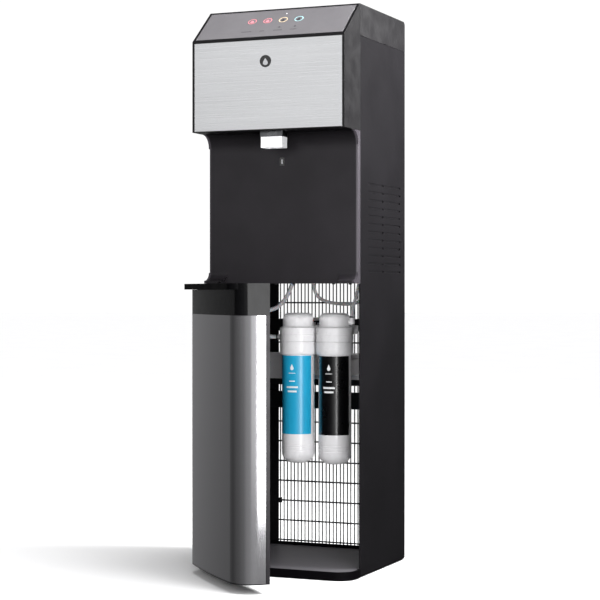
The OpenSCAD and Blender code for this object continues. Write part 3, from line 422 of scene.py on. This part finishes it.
FINISHES = [
    (HEAD_PLASTIC, 1.0, ["head_shell"]),
    (COVER_PLASTIC, 0.8, ["top_cover"]),
    (ALCOVE_PLASTIC, 0.8, ["alcove_panel"]),
    (PLINTH_PLASTIC, 0.8, ["base_plinth"]),
    (PANEL_PAINT, 0.4, ["left_side_panel", "right_side_panel"]),
    (FLOOR_PAINT, 0.3, ["floor_pan"]),
    (REAR_PAINT, 0, ["rear_cover"]),
    (REAR_PAINT, 0.3, ["condenser_clips"]),
    (BAR_PAINT, 0.4, ["filter_crossbars"]),
    (CAP_PLASTIC, 0.8, ["door_top_cap", "door_bottom_cap"]),
    (LINER_PLASTIC, 0.6, ["door_liner"]),
    (TRAY_PLASTIC, 0.7, ["drip_tray"]),
    (TRAY_PLASTIC, 0.3, ["drip_grid"]),
    (SWITCH_PLASTIC, 0.4, ["switch_bezel", "cord_gland", "magnetic_catch"]),
    (SWITCH_PLASTIC, 0.3, ["light_rocker", "drain_cap"]),
    (RED_ROCKER, 0.3, ["hot_rocker"]),
    (BLUE_ROCKER, 0.3, ["cold_rocker"]),
    (FASCIA_STEEL, 0.2, ["stainless_fascia"]),
    (PANEL_LACQUER, 0.15, ["control_panel"]),
    (NOZZLE_SATIN, 0.8, ["nozzle_shroud"]),
    (COLLAR_SILVER, 0.6, ["nozzle_collar"]),
    (SPOUT_STEEL, 0, ["water_spouts", "hinge_pins"]),
    (SCREW_STEEL, 0.2, ["rear_screws", "strike_plate"]),
    (BADGE_BLACK, 0, ["fascia_badge"]),
    (SENSOR_BLACK, 0.3, ["cup_sensor"]),
    (DECK_ZINC, 0.2, ["mid_deck"]),
    (COMPRESSOR_PAINT, 0, ["compressor"]),
    (RUBBER, 0, ["compressor_mounts", "rubber_feet"]),
    (CONDENSER_PAINT, 0, ["condenser_tube", "condenser_wires"]),
    (COPPER, 0, ["refrigerant_lines", "evaporator_coil"]),
    (TANK_STEEL, 0, ["cold_tank", "hot_tank"]),
    (FLOAT_PLASTIC, 0.5, ["tank_float"]),
    (FOAM, 1.0, ["tank_insulation"]),
    (VALVE_PLASTIC, 0.6, ["solenoid_valves"]),
    (BOARD, 0, ["control_board", "power_board"]),
    (FITTING_PLASTIC, 0.3, ["water_inlet_fitting"]),
    (RAIL_PLASTIC, 0.6, ["filter_rail"]),
    (CORE_PLASTIC, 0, ["filter_core_1", "filter_core_2"]),
    (PANEL_LACQUER, 0, ["touch_lenses"]),
]


def soften_edges(node, width):
    """Rounds a CAD node's edges with modifiers, and leaves its mesh as it is."""
    weld = node.modifiers.new("weld", "WELD")
    weld.merge_threshold = 0.00001
    bevel = node.modifiers.new("edges", "BEVEL")
    bevel.width = width
    bevel.segments = 3
    bevel.limit_method = "ANGLE"
    bevel.angle_limit = math.radians(38)
    bevel.use_clamp_overlap = True
    bevel.miter_outer = "MITER_ARC"
    normals = node.modifiers.new("normals", "WEIGHTED_NORMAL")
    normals.mode = "FACE_AREA"
    normals.weight = 60


for material, edge, names in FINISHES:
    for name in names:
        for place in NODES[name].material_slots:
            place.material = material
        if edge:
            soften_edges(NODES[name], edge * MM)

# ---- Mesh making ----


def arc(centre, radius, start, end, steps):
    """Places on an arc in a plane, with angles in degrees."""
    turns = [math.radians(start + (end - start) * i / steps) for i in range(steps + 1)]
    return [(centre[0] + radius * math.cos(a), centre[1] + radius * math.sin(a)) for a in turns]


def along(low, high, steps):
    return [low + (high - low) * i / steps for i in range(steps + 1)]


def smooth_route(points, steps):
    """A Catmull-Rom curve through the points of a route, as the CAD model draws it."""
    line = [Vector(p) for p in points]
    last = len(line) - 1
    out = []
    for i in range(last):
        a, b, c, d = line[max(i - 1, 0)], line[i], line[i + 1], line[min(i + 2, last)]
        for t in along(0, 1, steps)[:-1]:
            out.append(0.5 * (2 * b + (c - a) * t + (2 * a - 5 * b + 4 * c - d) * t * t
                              + (3 * b - a - 3 * c + d) * t ** 3))
    return out + [line[last]]


class Form:
    """One mesh, built up in millimetres from turned, swept and drawn shapes.

    frame, a matrix in millimetres, carries local places to the model's frame.
    """

    def __init__(self, frame=None):
        self.form = bmesh.new()
        self.frame = frame or Matrix()

    def rows(self, rows, closed=True, loop=False, ends=False):
        """Skins rows of places. closed joins a row's ends, loop joins the last row to the first."""
        lines = [[self.form.verts.new(self.frame @ Vector(p) * MM) for p in row] for row in rows]
        for a, b in list(zip(lines, lines[1:])) + ([(lines[-1], lines[0])] if loop else []):
            for i in range(len(a) if closed else len(a) - 1):
                j = (i + 1) % len(a)
                self.form.faces.new((a[i], a[j], b[j], b[i]))
        if ends:
            self.form.faces.new(lines[0][::-1])
            self.form.faces.new(lines[-1])
        return self

    def turned(self, profile, steps=96, ribs=None, loop=False):
        """Turns a profile of (radius, height, rib depth) round the local Z axis."""
        rows = []
        for place in profile:
            radius, height = place[:2]
            depth = place[2] if len(place) > 2 else 0
            row = []
            for i in range(steps):
                a = math.tau * i / steps
                r = radius - depth * (0.5 - 0.5 * math.cos(a * ribs)) if ribs else radius
                row.append((r * math.cos(a), r * math.sin(a), height))
            rows.append(row)
        return self.rows(rows, loop=loop)

    def block(self, low, high):
        corners = [(low[0], low[1]), (high[0], low[1]), (high[0], high[1]), (low[0], high[1])]
        return self.rows([[(*c, z) for c in corners] for z in (low[2], high[2])], ends=True)

    def plate(self, outline, low, high):
        """A flat plate with an outline in local X and Y."""
        return self.rows([[(x, y, z) for x, y in outline] for z in (low, high)], ends=True)

    def swept(self, route, radius, sides=20):
        """A round tube along a route, closed at its ends."""
        line = smooth_route(route, 6)
        heads = [(line[min(i + 1, len(line) - 1)] - line[max(i - 1, 0)]).normalized()
                 for i in range(len(line))]
        side = heads[0].orthogonal().normalized()
        rings = []
        for place, head in zip(line, heads):
            side = (side - head * side.dot(head)).normalized()
            up = head.cross(side)
            turns = [math.tau * k / sides for k in range(sides)]
            rings.append([place + radius * (math.cos(a) * side + math.sin(a) * up) for a in turns])
        return self.rows(rings, ends=True)

    def wrapped(self, centre, radius, lift, spans, low, high):
        """A patch on an upright cylinder: low and high give its heights at each arc length."""
        outer = radius + lift
        rows = []
        for s in spans:
            a = s / radius
            row = []
            for r, z in ((radius, low(s)), (outer, low(s)), (outer, high(s)), (radius, high(s))):
                row.append((centre[0] + r * math.sin(a), centre[1] - r * math.cos(a), z))
            rows.append(row)
        return self.rows(rows, ends=True)

    def piece(self, name, material, body, slot, replaces=(), edge=0, sharp=34):
        """Ends the form as one object that rides on a body."""
        bmesh.ops.remove_doubles(self.form, verts=self.form.verts, dist=1e-6)
        bmesh.ops.dissolve_degenerate(self.form, edges=self.form.edges, dist=1e-7)
        bmesh.ops.recalc_face_normals(self.form, faces=self.form.faces)
        mesh = bpy.data.meshes.new(name)
        self.form.to_mesh(mesh)
        self.form.free()
        mesh.materials.append(material)
        mesh.shade_smooth()
        mesh.set_sharp_from_angle(angle=math.radians(sharp))
        thing = bpy.data.objects.new(name, mesh)
        bpy.context.scene.collection.objects.link(thing)
        if edge:
            soften_edges(thing, edge * MM)
        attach(thing, body)
        if replaces:
            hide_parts(*replaces)
        return thing


def frame_at(place, z_axis, x_axis=(1, 0, 0)):
    """A frame in millimetres at a place, with its local Z along z_axis."""
    z = Vector(z_axis).normalized()
    x = (Vector(x_axis) - z * Vector(x_axis).dot(z)).normalized()
    return Matrix.Translation(place) @ Matrix((x, z.cross(x), z)).transposed().to_4x4()


def droplet(size, steps=40):
    """Outline of a drop with its tip up, size wide."""
    turns = [math.tau * i / steps for i in range(steps)]
    return [(0.78 * size * math.sin(t) * math.sin(t / 2) ** 1.6, 0.72 * size * math.cos(t))
            for t in turns]


def middle(node):
    """Plan centre and lowest and highest level of a CAD node, in millimetres."""
    low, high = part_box(node)
    return ((low[0] + high[0]) / 2 / MM, (low[1] + high[1]) / 2 / MM), low[2] / MM, high[2] / MM


# ---- Door skin ----

HINGE = (-140, -16)
DOOR_OPEN = math.radians(46.6)
DOOR_HALF = 148
DOOR_FRONT = 67
DOOR_BOW = 7
DOOR_CORNER = 42
SKIN_END = -10.5
SKIN_LOW, SKIN_HIGH = 18.5, 478
SKIN_T = 0.8


def stand_open(x, y):
    """Carries a place on the closed door to where the door stands at rest."""
    dx, dy = x - HINGE[0], y - HINGE[1]
    c, s = math.cos(DOOR_OPEN), math.sin(DOOR_OPEN)
    return HINGE[0] + dx * c + dy * s, HINGE[1] - dx * s + dy * c


def crown(x, inset):
    return -DOOR_FRONT + inset + DOOR_BOW * (x / DOOR_HALF) ** 2


def skin_path(inset):
    """Plan of the skin from the hinge edge, round the crowned front, to the free edge."""
    x = DOOR_HALF - DOOR_CORNER
    radius = DOOR_CORNER - inset
    tilt = math.atan(2 * DOOR_BOW * x / DOOR_HALF ** 2)
    touch = x + radius * math.sin(tilt)
    y = crown(touch, inset) + radius * math.cos(tilt)
    free = arc((x, y), radius, 270 + math.degrees(tilt), 360, 40)
    front = [(fx, crown(fx, inset)) for fx in along(-touch, touch, 72)[1:-1]]
    edge = DOOR_HALF - inset
    path = [(-edge, SKIN_END)] + [(-fx, fy) for fx, fy in reversed(free)] + front + free
    return path + [(edge, SKIN_END)]


def make_door_skin():
    hem = 0.25
    section = [(SKIN_T, SKIN_LOW), (hem, SKIN_LOW), (0, SKIN_LOW + hem), (0, SKIN_HIGH - hem),
               (hem, SKIN_HIGH), (SKIN_T, SKIN_HIGH)]
    rows = [[(*stand_open(x, y), z) for x, y in skin_path(inset)] for inset, z in section]
    form = Form()
    form.rows(rows, closed=False, loop=True)
    for end in (0, -1):
        form.form.faces.new([form.form.verts.new(Vector(row[end]) * MM) for row in rows])
    form.piece("door_skin_sheet", DOOR_STEEL, "door", "door_steel", ["door_skin"], sharp=30)


# ---- Filters ----

HEAD_R = 35.6
HEAD_TOP = 477.6
HEAD_ROUND = 11
CREST_R = 18.4
PORT_R = 5.4
CAP_R = 31.5
TUBE_R = 31
BAYONET_Z = 423.2
GROOVES = (214.5, 221, 225.5)
LABEL_LOW, LABEL_HIGH = 246, 396
NECK_R = 14


def make_filter_head(number, side):
    (x, y), _, _ = middle(f"filter_core_{number}")
    joint = BAYONET_Z
    top = HEAD_TOP
    shoulder = top - HEAD_ROUND
    outer = [(24, joint), (HEAD_R - 0.5, joint), (HEAD_R, joint + 0.5), (HEAD_R, joint + 12),
             (HEAD_R - 0.45, joint + 12.4), (HEAD_R - 0.45, joint + 13), (HEAD_R, joint + 13.4),
             (HEAD_R, joint + 25), (HEAD_R - 0.6, joint + 26.6), (HEAD_R - 2, joint + 27.4),
             (30.8, joint + 28.2), (30, joint + 29.4), (29.6, shoulder - 4, 0.5)]
    dome = [(r, z, 0.6) for r, z in arc((CREST_R, shoulder), HEAD_ROUND, 0, 62, 7)]
    crest = [(r, z) for r, z in arc((CREST_R, shoulder), HEAD_ROUND, 68, 90, 3)]
    profile = outer + dome + crest + [(12, top), (11, top - 0.8), (0, top - 0.8)]
    form = Form(Matrix.Translation((x, y, 0)))
    form.turned(profile + [(0, joint + 21.8), (24, joint + 21.8)], 288, 72, loop=True)
    form.frame = Matrix()
    form.block((x - 16, y + 20, 436), (x + 16, 232, 453))
    form.block((x - 2, y + 32, 453), (x + 2, 231, 458))
    ports = [((x, y + 24, 462), (0, 1, 0), 6)]
    if side < 0:
        ports.append(((x - 30, y, 431), (-1, 0, 0), 12))
    else:
        form.frame = frame_at((x + 24, y, 461), (1, 0, 0), (0, 1, 0))
        form.turned([(0, 0), (PORT_R, 0), (PORT_R, 12), (PORT_R - 1, 13), (0, 13)], 48)
        ports.append(((x + 35, y, 456), (0, 0, 1), 13))
    for place, way, length in ports:
        form.frame = frame_at(place, way, (0, 1, 0) if abs(way[1]) < 0.5 else (1, 0, 0))
        form.turned([(0, 0), (PORT_R, 0), (PORT_R, length - 3), (PORT_R - 0.5, length - 2.6),
                     (PORT_R - 0.5, length - 2.2), (PORT_R, length - 1.8), (PORT_R, length - 0.5),
                     (PORT_R - 0.4, length), (0, length)], 48)
    form.piece(f"filter_head_moulding_{number}", WHITE_PLASTIC, "cabinet", "filter_white",
               [f"filter_head_{number}"], sharp=40)


def make_cartridge(number):
    (x, y), low, _ = middle(f"cartridge_{number}")
    groove = 0.55
    end = [(0, low + 0.9), (9, low + 0.9), (10.4, low), (14, low + 0.4)]
    bowl = [(r, z, 0.35) for r, z in arc((CAP_R - 21, low + 21), 21, 284, 352, 14)]
    profile = end + bowl + [(CAP_R, low + 22)]
    for z in GROOVES:
        profile += [(CAP_R, z - 0.8), (CAP_R - groove, z - 0.3),
                    (CAP_R - groove, z + 0.3), (CAP_R, z + 0.8)]
    rim = LABEL_HIGH + 1
    profile += [(CAP_R, LABEL_LOW - 2.4), (CAP_R - 0.2, LABEL_LOW - 1.6), (TUBE_R, LABEL_LOW - 1),
                (TUBE_R, rim), (TUBE_R + 1.4, rim + 0.6), (HEAD_R - 0.8, rim + 2),
                (HEAD_R - 0.2, rim + 3), (HEAD_R - 0.2, BAYONET_Z - 1),
                (HEAD_R - 0.6, BAYONET_Z - 0.3),
                (NECK_R, BAYONET_Z - 0.3), (NECK_R, BAYONET_Z + 5), (NECK_R - 1.4, BAYONET_Z + 5.2),
                (NECK_R - 1.4, BAYONET_Z + 7.4), (NECK_R, BAYONET_Z + 7.6), (NECK_R, BAYONET_Z + 10),
                (NECK_R - 1.4, BAYONET_Z + 10.2), (NECK_R - 1.4, BAYONET_Z + 12.4),
                (NECK_R, BAYONET_Z + 12.6),
                (NECK_R, BAYONET_Z + 15), (NECK_R - 1, BAYONET_Z + 16), (4, BAYONET_Z + 16),
                (4, BAYONET_Z + 8), (0, BAYONET_Z + 8)]
    Form(Matrix.Translation((x, y, 0))).turned(profile, 288, 96).piece(
        f"cartridge_shell_{number}", WHITE_PLASTIC, f"filter_{number}", "filter_white",
        [f"cartridge_{number}"], sharp=40)
    seals = Form(Matrix.Translation((x, y, 0)))
    for z in (BAYONET_Z + 6.3, BAYONET_Z + 11.3):
        seals.turned(arc((NECK_R - 0.95, z), 0.95, 0, 330, 11), 72, loop=True)
    seals.piece(f"cartridge_seals_{number}", RUBBER, f"filter_{number}", "mount_rubber")


def make_label(number, material, slot, band):
    """Printed film with a bare seam on one side, a drop mark and bars where the print would be."""
    (x, y), _, _ = middle(f"cartridge_{number}")
    body = f"filter_{number}"
    radius = TUBE_R + 0.02
    seam_start, seam_end = (math.radians(a) * radius for a in band)
    spans = along(seam_end - math.tau * radius, seam_start, 150)
    Form().wrapped((x, y), radius, 0.3, spans, lambda s: LABEL_LOW, lambda s: LABEL_HIGH).piece(
        f"cartridge_film_{number}", material, body, slot, [f"cartridge_label_{number}"])
    face = radius + 0.28
    marks = Form()
    size, tip, base = 3.6, 8.4, 372
    slant = math.asin(size / tip)

    def drop_low(s):
        return base - math.sqrt(max(size ** 2 - s ** 2, 0))

    def drop_high(s):
        if abs(s) <= size * math.cos(slant):
            return base + tip - abs(s) / math.tan(slant)
        return base + math.sqrt(max(size ** 2 - s ** 2, 0))

    marks.wrapped((x, y), face, 0.08, [size * math.sin(t) for t in along(-1.56, 1.56, 32)],
                  drop_low, drop_high)
    for half, level, tall in ((7, 362, 1.2), (6, 346.5, 1.8), (12, 334, 3.6), (9.5, 326, 3.6)):
        marks.wrapped((x, y), face, 0.08, along(-half, half, 24),
                      lambda s, z=level: z, lambda s, z=level + tall: z)
    marks.piece(f"label_marks_{number}", PRINT_WHITE, body, slot)


# ---- Water tubes ----

ROUTES = {
    "supply": (4, [
        (-47, 150, 575), (-47, 150, 545), (-53, 150, 524), (-64, 150, 504), (-80, 150, 489),
        (-96, 150, 483), (-112, 150, 475), (-120, 150, 458), (-117, 150, 441), (-104, 149, 433),
        (-90, 148, 431), (-77.4, 148, 431)]),
    "valve": (3.2, [
        (-17, 186, 575), (-17, 180, 545), (-15, 176, 530), (-9, 175, 514), (0, 175, 505),
        (11, 175, 500), (24, 175, 497), (42, 175, 495), (62, 175, 495), (80, 175, 499),
        (97, 175, 508), (108, 175, 522), (112, 175, 540), (112, 175, 560)]),
    "outlet": (3.2, [
        (75.6, 148, 469), (76.6, 148, 478), (79, 149, 494), (84, 150, 511), (88, 150, 528),
        (91, 150, 545), (98, 146, 575), (112, 120, 620), (122, 70, 680), (120, 30, 750),
        (110, 14, 804), (80, 12, 842), (52, 15, 864), (40, 16, 866)]),
    "link": (3.2, [
        (-35.4, 178, 462), (-33.4, 188, 463), (-22, 198, 465), (2.6, 201, 466),
        (27, 198, 465), (38.6, 188, 463), (40.6, 178, 462)]),
    "inlet": (3.2, [
        (100, 226, 790), (101, 219, 787), (112, 214, 765), (126, 213, 730), (130, 212, 680),
        (127, 210, 640), (119, 212, 600), (113, 208, 580), (112, 200, 573), (112, 193, 572)]),
    "hot_spout": (2.4, [
        (28, 16, 858), (27, 12, 851), (22, -6, 858), (14, -32, 866), (9, -46, 858),
        (8.5, -47.5, 848)]),
    "cold_spout": (2.4, [
        (-28, 16, 858), (-27, 12, 851), (-22, -6, 858), (-14, -32, 866), (-9, -46, 858),
        (-8.5, -47.5, 848)]),
}


def make_water_tubes():
    form = Form()
    for radius, route in ROUTES.values():
        form.swept(route, radius)
    form.piece("water_lines", TUBE_PLASTIC, "cabinet", "tube_grey", ["water_tubes"], sharp=60)
    rings = Form()
    for name, ends in (("supply", (-1,)), ("outlet", (0,)), ("link", (0, -1))):
        radius, route = ROUTES[name]
        for end in ends:
            start, inward = Vector(route[end]), Vector(route[1 if end == 0 else -2])
            rings.frame = frame_at(start, inward - start, (0.3, 0.2, 1))
            rings.turned([(radius, 0), (radius + 1.3, 0), (radius + 1.3, 2.2), (radius + 1, 2.6),
                          (radius, 2.6)], 48, loop=True)
    rings.piece("tube_collets", SWITCH_PLASTIC, "cabinet", "switch_black", sharp=40)


# ---- Head ----

HEAD_FRONT = 78.7
SLOPE_LOW = 976.3
SLOPE_TURN = math.atan2(1040 - SLOPE_LOW, HEAD_FRONT - 2.7)
MARK_X = -3
KEY_PITCH = 31
KEY_UP = 59
LEGEND_UP = 24
RING_IN, RING_OUT = 7.1, 8.3
KEYS = [
    ("far_left", LIT_RED, LIT_RED, 20),
    ("left", LIT_RED, LIT_RED, 9),
    ("right", LIT_AMBER, PRINT_DARK, 17),
    ("far_right", LIT_CYAN, PRINT_DARK, 13),
]


def on_slope(x, up):
    """Frame on the sloping panel: X to the right, Y up the slope and Z out of it."""
    turn = Matrix.Rotation(SLOPE_TURN, 4, "X")
    return Matrix.Translation((0, -HEAD_FRONT, SLOPE_LOW)) @ turn @ Matrix.Translation((x, up, 0))


def make_keys():
    for i, (name, light, ink, legend) in enumerate(KEYS):
        x = MARK_X + (i - 1.5) * KEY_PITCH
        ring = Form(on_slope(x, KEY_UP))
        ring.turned([(RING_IN, -0.1), (RING_IN, 0.05), (RING_IN + 0.1, 0.1), (RING_OUT - 0.1, 0.1),
                     (RING_OUT, 0.05), (RING_OUT, -0.1)], 72, loop=True)
        ring.piece(f"key_ring_{name}", light, "cabinet", "key_light")
        drop = Form(on_slope(x, KEY_UP - 0.6))
        drop.plate(droplet(6.4), -0.1, 0.1)
        drop.piece(f"key_drop_{name}", ink, "cabinet", "key_light")
        bar = Form(on_slope(x, LEGEND_UP))
        half = legend / 2
        bar.plate([(-half, -0.75), (half, -0.75), (half, 0.75), (-half, 0.75)], -0.1, 0.08)
        if i > 1:
            bar.plate([(2.4 * a, 10 + 1.9 * b) for a, b in arc((0, 0), 1, 0, 330, 11)], -0.1, 0.08)
        bar.piece(f"key_legend_{name}", PRINT_DARK, "cabinet", "badge_black")
    lamp = Form(on_slope(MARK_X + 0.5 * KEY_PITCH, KEY_UP + 21))
    lamp.turned([(0, 0.35), (0.7, 0.28), (1.1, 0), (1.1, -0.1), (0, -0.1)], 32)
    lamp.piece("status_lamp", LIT_WHITE, "cabinet", "key_light")


def make_badge_mark():
    (x, _), low, high = middle("fascia_badge")
    form = Form(frame_at((x, -HEAD_FRONT - 0.3, (low + high) / 2 - 0.6), (0, -1, 0), (1, 0, 0)))
    form.plate(droplet(9), -0.02, 0.28)
    form.piece("badge_drop", BADGE_SILVER, "cabinet", "screw_steel")


def make_sensor_window():
    (x, _), low, high = middle("cup_sensor")
    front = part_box("cup_sensor")[0][1] / MM
    outline = [(1.1 * a, (high - low) / 2 - 4.8 + 1.1 * b) for a, b in arc((0, 0), 1, 0, 180, 12)]
    outline += [(px, -py) for px, py in reversed(outline)]
    form = Form(frame_at((x, front + 0.3, (low + high) / 2), (0, -1, 0), (1, 0, 0)))
    form.plate(outline, -0.2, 0.2)
    form.piece("sensor_window", SENSOR_WINDOW, "cabinet", "sensor_black")


def make_bar_screw():
    """Pan-head screw in the upper bar behind the filters."""
    form = Form(frame_at((-28, 232, 456.6), (0, -1, 0), (1, 0, 0)))
    form.turned([(0, 1.1), (0.9, 1.1), (1.1, 1.9), (1.9, 1.6), (2.7, 0.9), (3, 0), (0, 0)], 40)
    form.piece("bar_screw", SCREW_STEEL, "cabinet", "screw_steel")


# ---- Louvres ----

LOUVRE_LOW = 554
LOUVRE_PITCH = 14.6
LOUVRE_ROWS = 12
LOUVRE_H = 3
LOUVRE_COLUMNS = [(40, 79), (124, 88)]
LOUVRE_MOUTH = 5.5
INNER_X = 148.8
BLADE_ROWS = (38, 118, 124, 232)


def make_louvre_blades():
    """Pressed hoods that fill the slots up to a mouth at the rear, and blades that rise inwards."""
    for side, way in (("left", -1), ("right", 1)):
        form = Form()
        for i in range(LOUVRE_ROWS):
            z = LOUVRE_LOW + i * LOUVRE_PITCH
            path = [(0.15, -2.6), (0.15, -0.5), (0.9, 0.4), (3, 2.4), (7.4, 9.6)]
            back = [(7.9, 9.3), (3.5, 1.8), (1.3, -0.4), (0.95, -1), (0.95, -2.6)]
            section = [(way * (INNER_X - dx), z + dz) for dx, dz in path + back]
            form.rows([[(x, y, h) for x, h in section] for y in BLADE_ROWS], ends=True)
            for start, length in LOUVRE_COLUMNS:
                faces = sorted((way * (INNER_X - 0.2), way * (INNER_X + 0.8)))
                form.block((faces[0], start + 0.1, z + 0.15),
                           (faces[1], start + length - LOUVRE_MOUTH, z + LOUVRE_H - 0.15))
        form.piece(f"louvre_blades_{side}", PANEL_PAINT, "cabinet", "panel_paint", sharp=50)


make_door_skin()
make_filter_head(1, -1)
make_filter_head(2, 1)
make_cartridge(1)
make_cartridge(2)
make_label(1, LABEL_BLUE, "label_blue", (75, 112))
make_label(2, LABEL_BLACK, "label_black", (80, 112))
make_water_tubes()
make_keys()
make_badge_mark()
make_sensor_window()
make_bar_screw()
make_louvre_blades()

# ---- Floor and light ----


def make_floor():
    mesh = bpy.data.meshes.new("floor")
    form = bmesh.new()
    bmesh.ops.create_circle(form, cap_ends=True, segments=96, radius=40)
    form.to_mesh(mesh)
    form.free()
    floor = bpy.data.objects.new("floor", mesh)
    bpy.context.scene.collection.objects.link(floor)
    f = Finish("floor_white", 0.9)
    f.shader.inputs["Specular IOR Level"].default_value = 0.1
    tone = f.tones(f.noise(3, 3), [(0.3, (0.92, 0.92, 0.925, 1)), (0.7, (0.94, 0.94, 0.943, 1))])
    mesh.materials.append(f.set(Base_Color=tone))
    floor.visible_glossy = False


def make_world():
    """White to the eye. What lights the object is strong from straight behind it, weak from the
    sides and strong again from the front right, and it grows with height.
    """
    world = bpy.data.worlds.new("studio")
    bpy.context.scene.world = world
    world.use_nodes = True
    nodes, links = world.node_tree.nodes, world.node_tree.links
    nodes.clear()
    place = nodes.new("ShaderNodeTexCoord")
    dot = nodes.new("ShaderNodeVectorMath")
    dot.operation = "DOT_PRODUCT"
    dot.inputs[1].default_value = Vector((0.55, -0.83, 0.1)).normalized()
    links.new(place.outputs["Generated"], dot.inputs[0])
    ramp = nodes.new("ShaderNodeValToRGB")
    ramp.color_ramp.interpolation = "EASE"
    stops = [(0.0, 0.42), (0.03, 0.19), (0.09, 0.14), (0.16, 0.085), (0.3, 0.06), (0.6, 0.11),
             (0.82, 0.17), (0.92, 0.3), (1.0, 0.36)]
    while len(ramp.color_ramp.elements) < len(stops):
        ramp.color_ramp.elements.new(0.5)
    for element, (at, level) in zip(ramp.color_ramp.elements, stops):
        element.position = at
        element.color = (level, level, level * 1.01, 1)
    half = nodes.new("ShaderNodeMapRange")
    half.inputs["From Min"].default_value = -1
    links.new(dot.outputs["Value"], half.inputs["Value"])
    links.new(half.outputs["Result"], ramp.inputs["Fac"])
    parts = nodes.new("ShaderNodeSeparateXYZ")
    links.new(place.outputs["Generated"], parts.inputs[0])
    rise = nodes.new("ShaderNodeMapRange")
    rise.interpolation_type = "SMOOTHSTEP"
    for key, value in (("From Min", -0.45), ("From Max", 0.35), ("To Min", 0.5), ("To Max", 1.6)):
        rise.inputs[key].default_value = value
    links.new(parts.outputs["Z"], rise.inputs["Value"])
    soft = nodes.new("ShaderNodeBackground")
    links.new(ramp.outputs["Color"], soft.inputs["Color"])
    links.new(rise.outputs["Result"], soft.inputs["Strength"])
    white = nodes.new("ShaderNodeBackground")
    white.inputs["Color"].default_value = (1, 1, 1, 1)
    white.inputs["Strength"].default_value = 1.05
    eye = nodes.new("ShaderNodeLightPath")
    both = nodes.new("ShaderNodeMixShader")
    links.new(eye.outputs["Is Camera Ray"], both.inputs["Fac"])
    links.new(soft.outputs[0], both.inputs[1])
    links.new(white.outputs[0], both.inputs[2])
    out = nodes.new("ShaderNodeOutputWorld")
    links.new(both.outputs[0], out.inputs["Surface"])


def softbox(name, place, aim, width, height, watts):
    data = bpy.data.lights.new(name, "AREA")
    data.shape = "RECTANGLE"
    data.size = width
    data.size_y = height
    data.energy = watts
    light = bpy.data.objects.new(name, data)
    light.location = place
    light.rotation_mode = "QUATERNION"
    light.rotation_quaternion = (Vector(aim) - Vector(place)).to_track_quat("-Z", "Y")
    light.visible_camera = False
    bpy.context.scene.collection.objects.link(light)
    return light


def make_lights():
    sun = bpy.data.lights.new("overhead", "SUN")
    sun.energy = 3.0
    sun.angle = math.radians(50)
    overhead = bpy.data.objects.new("overhead", sun)
    overhead.rotation_mode = "QUATERNION"
    overhead.rotation_quaternion = Vector((-0.34, 0.06, -1)).to_track_quat("-Z", "Y")
    overhead.visible_glossy = False
    bpy.context.scene.collection.objects.link(overhead)
    softbox("front_box", (1.9, -3.0, 0.9), (0, 0, 0.55), 1.5, 2.2, 4)
    softbox("near_strip", (0.5, -0.455, 0.47), (0.055, -0.228, 0.45), 0.21, 0.78, 4)
    softbox("fascia_box", (-0.7, -1.96, 1.17), (0, -0.08, 0.92), 1.3, 0.8, 2.8)
    softbox("side_box", (0.9, 0.25, 1.9), (0.15, 0.1, 0.95), 0.6, 0.8, 38)
    glow = softbox("panel_glow", (0.95, 0.3, 1.2), (0.15, 0.14, 0.9), 0.5, 0.4, 7)
    glow.data.spread = math.radians(70)
    fill = softbox("fill", (0.2, -2.6, 0.9), (0, 0.1, 0.5), 2.0, 1.6, 33)
    fill.visible_glossy = False


bpy.context.scene.view_settings.view_transform = "Standard"
make_floor()
make_world()
make_lights()
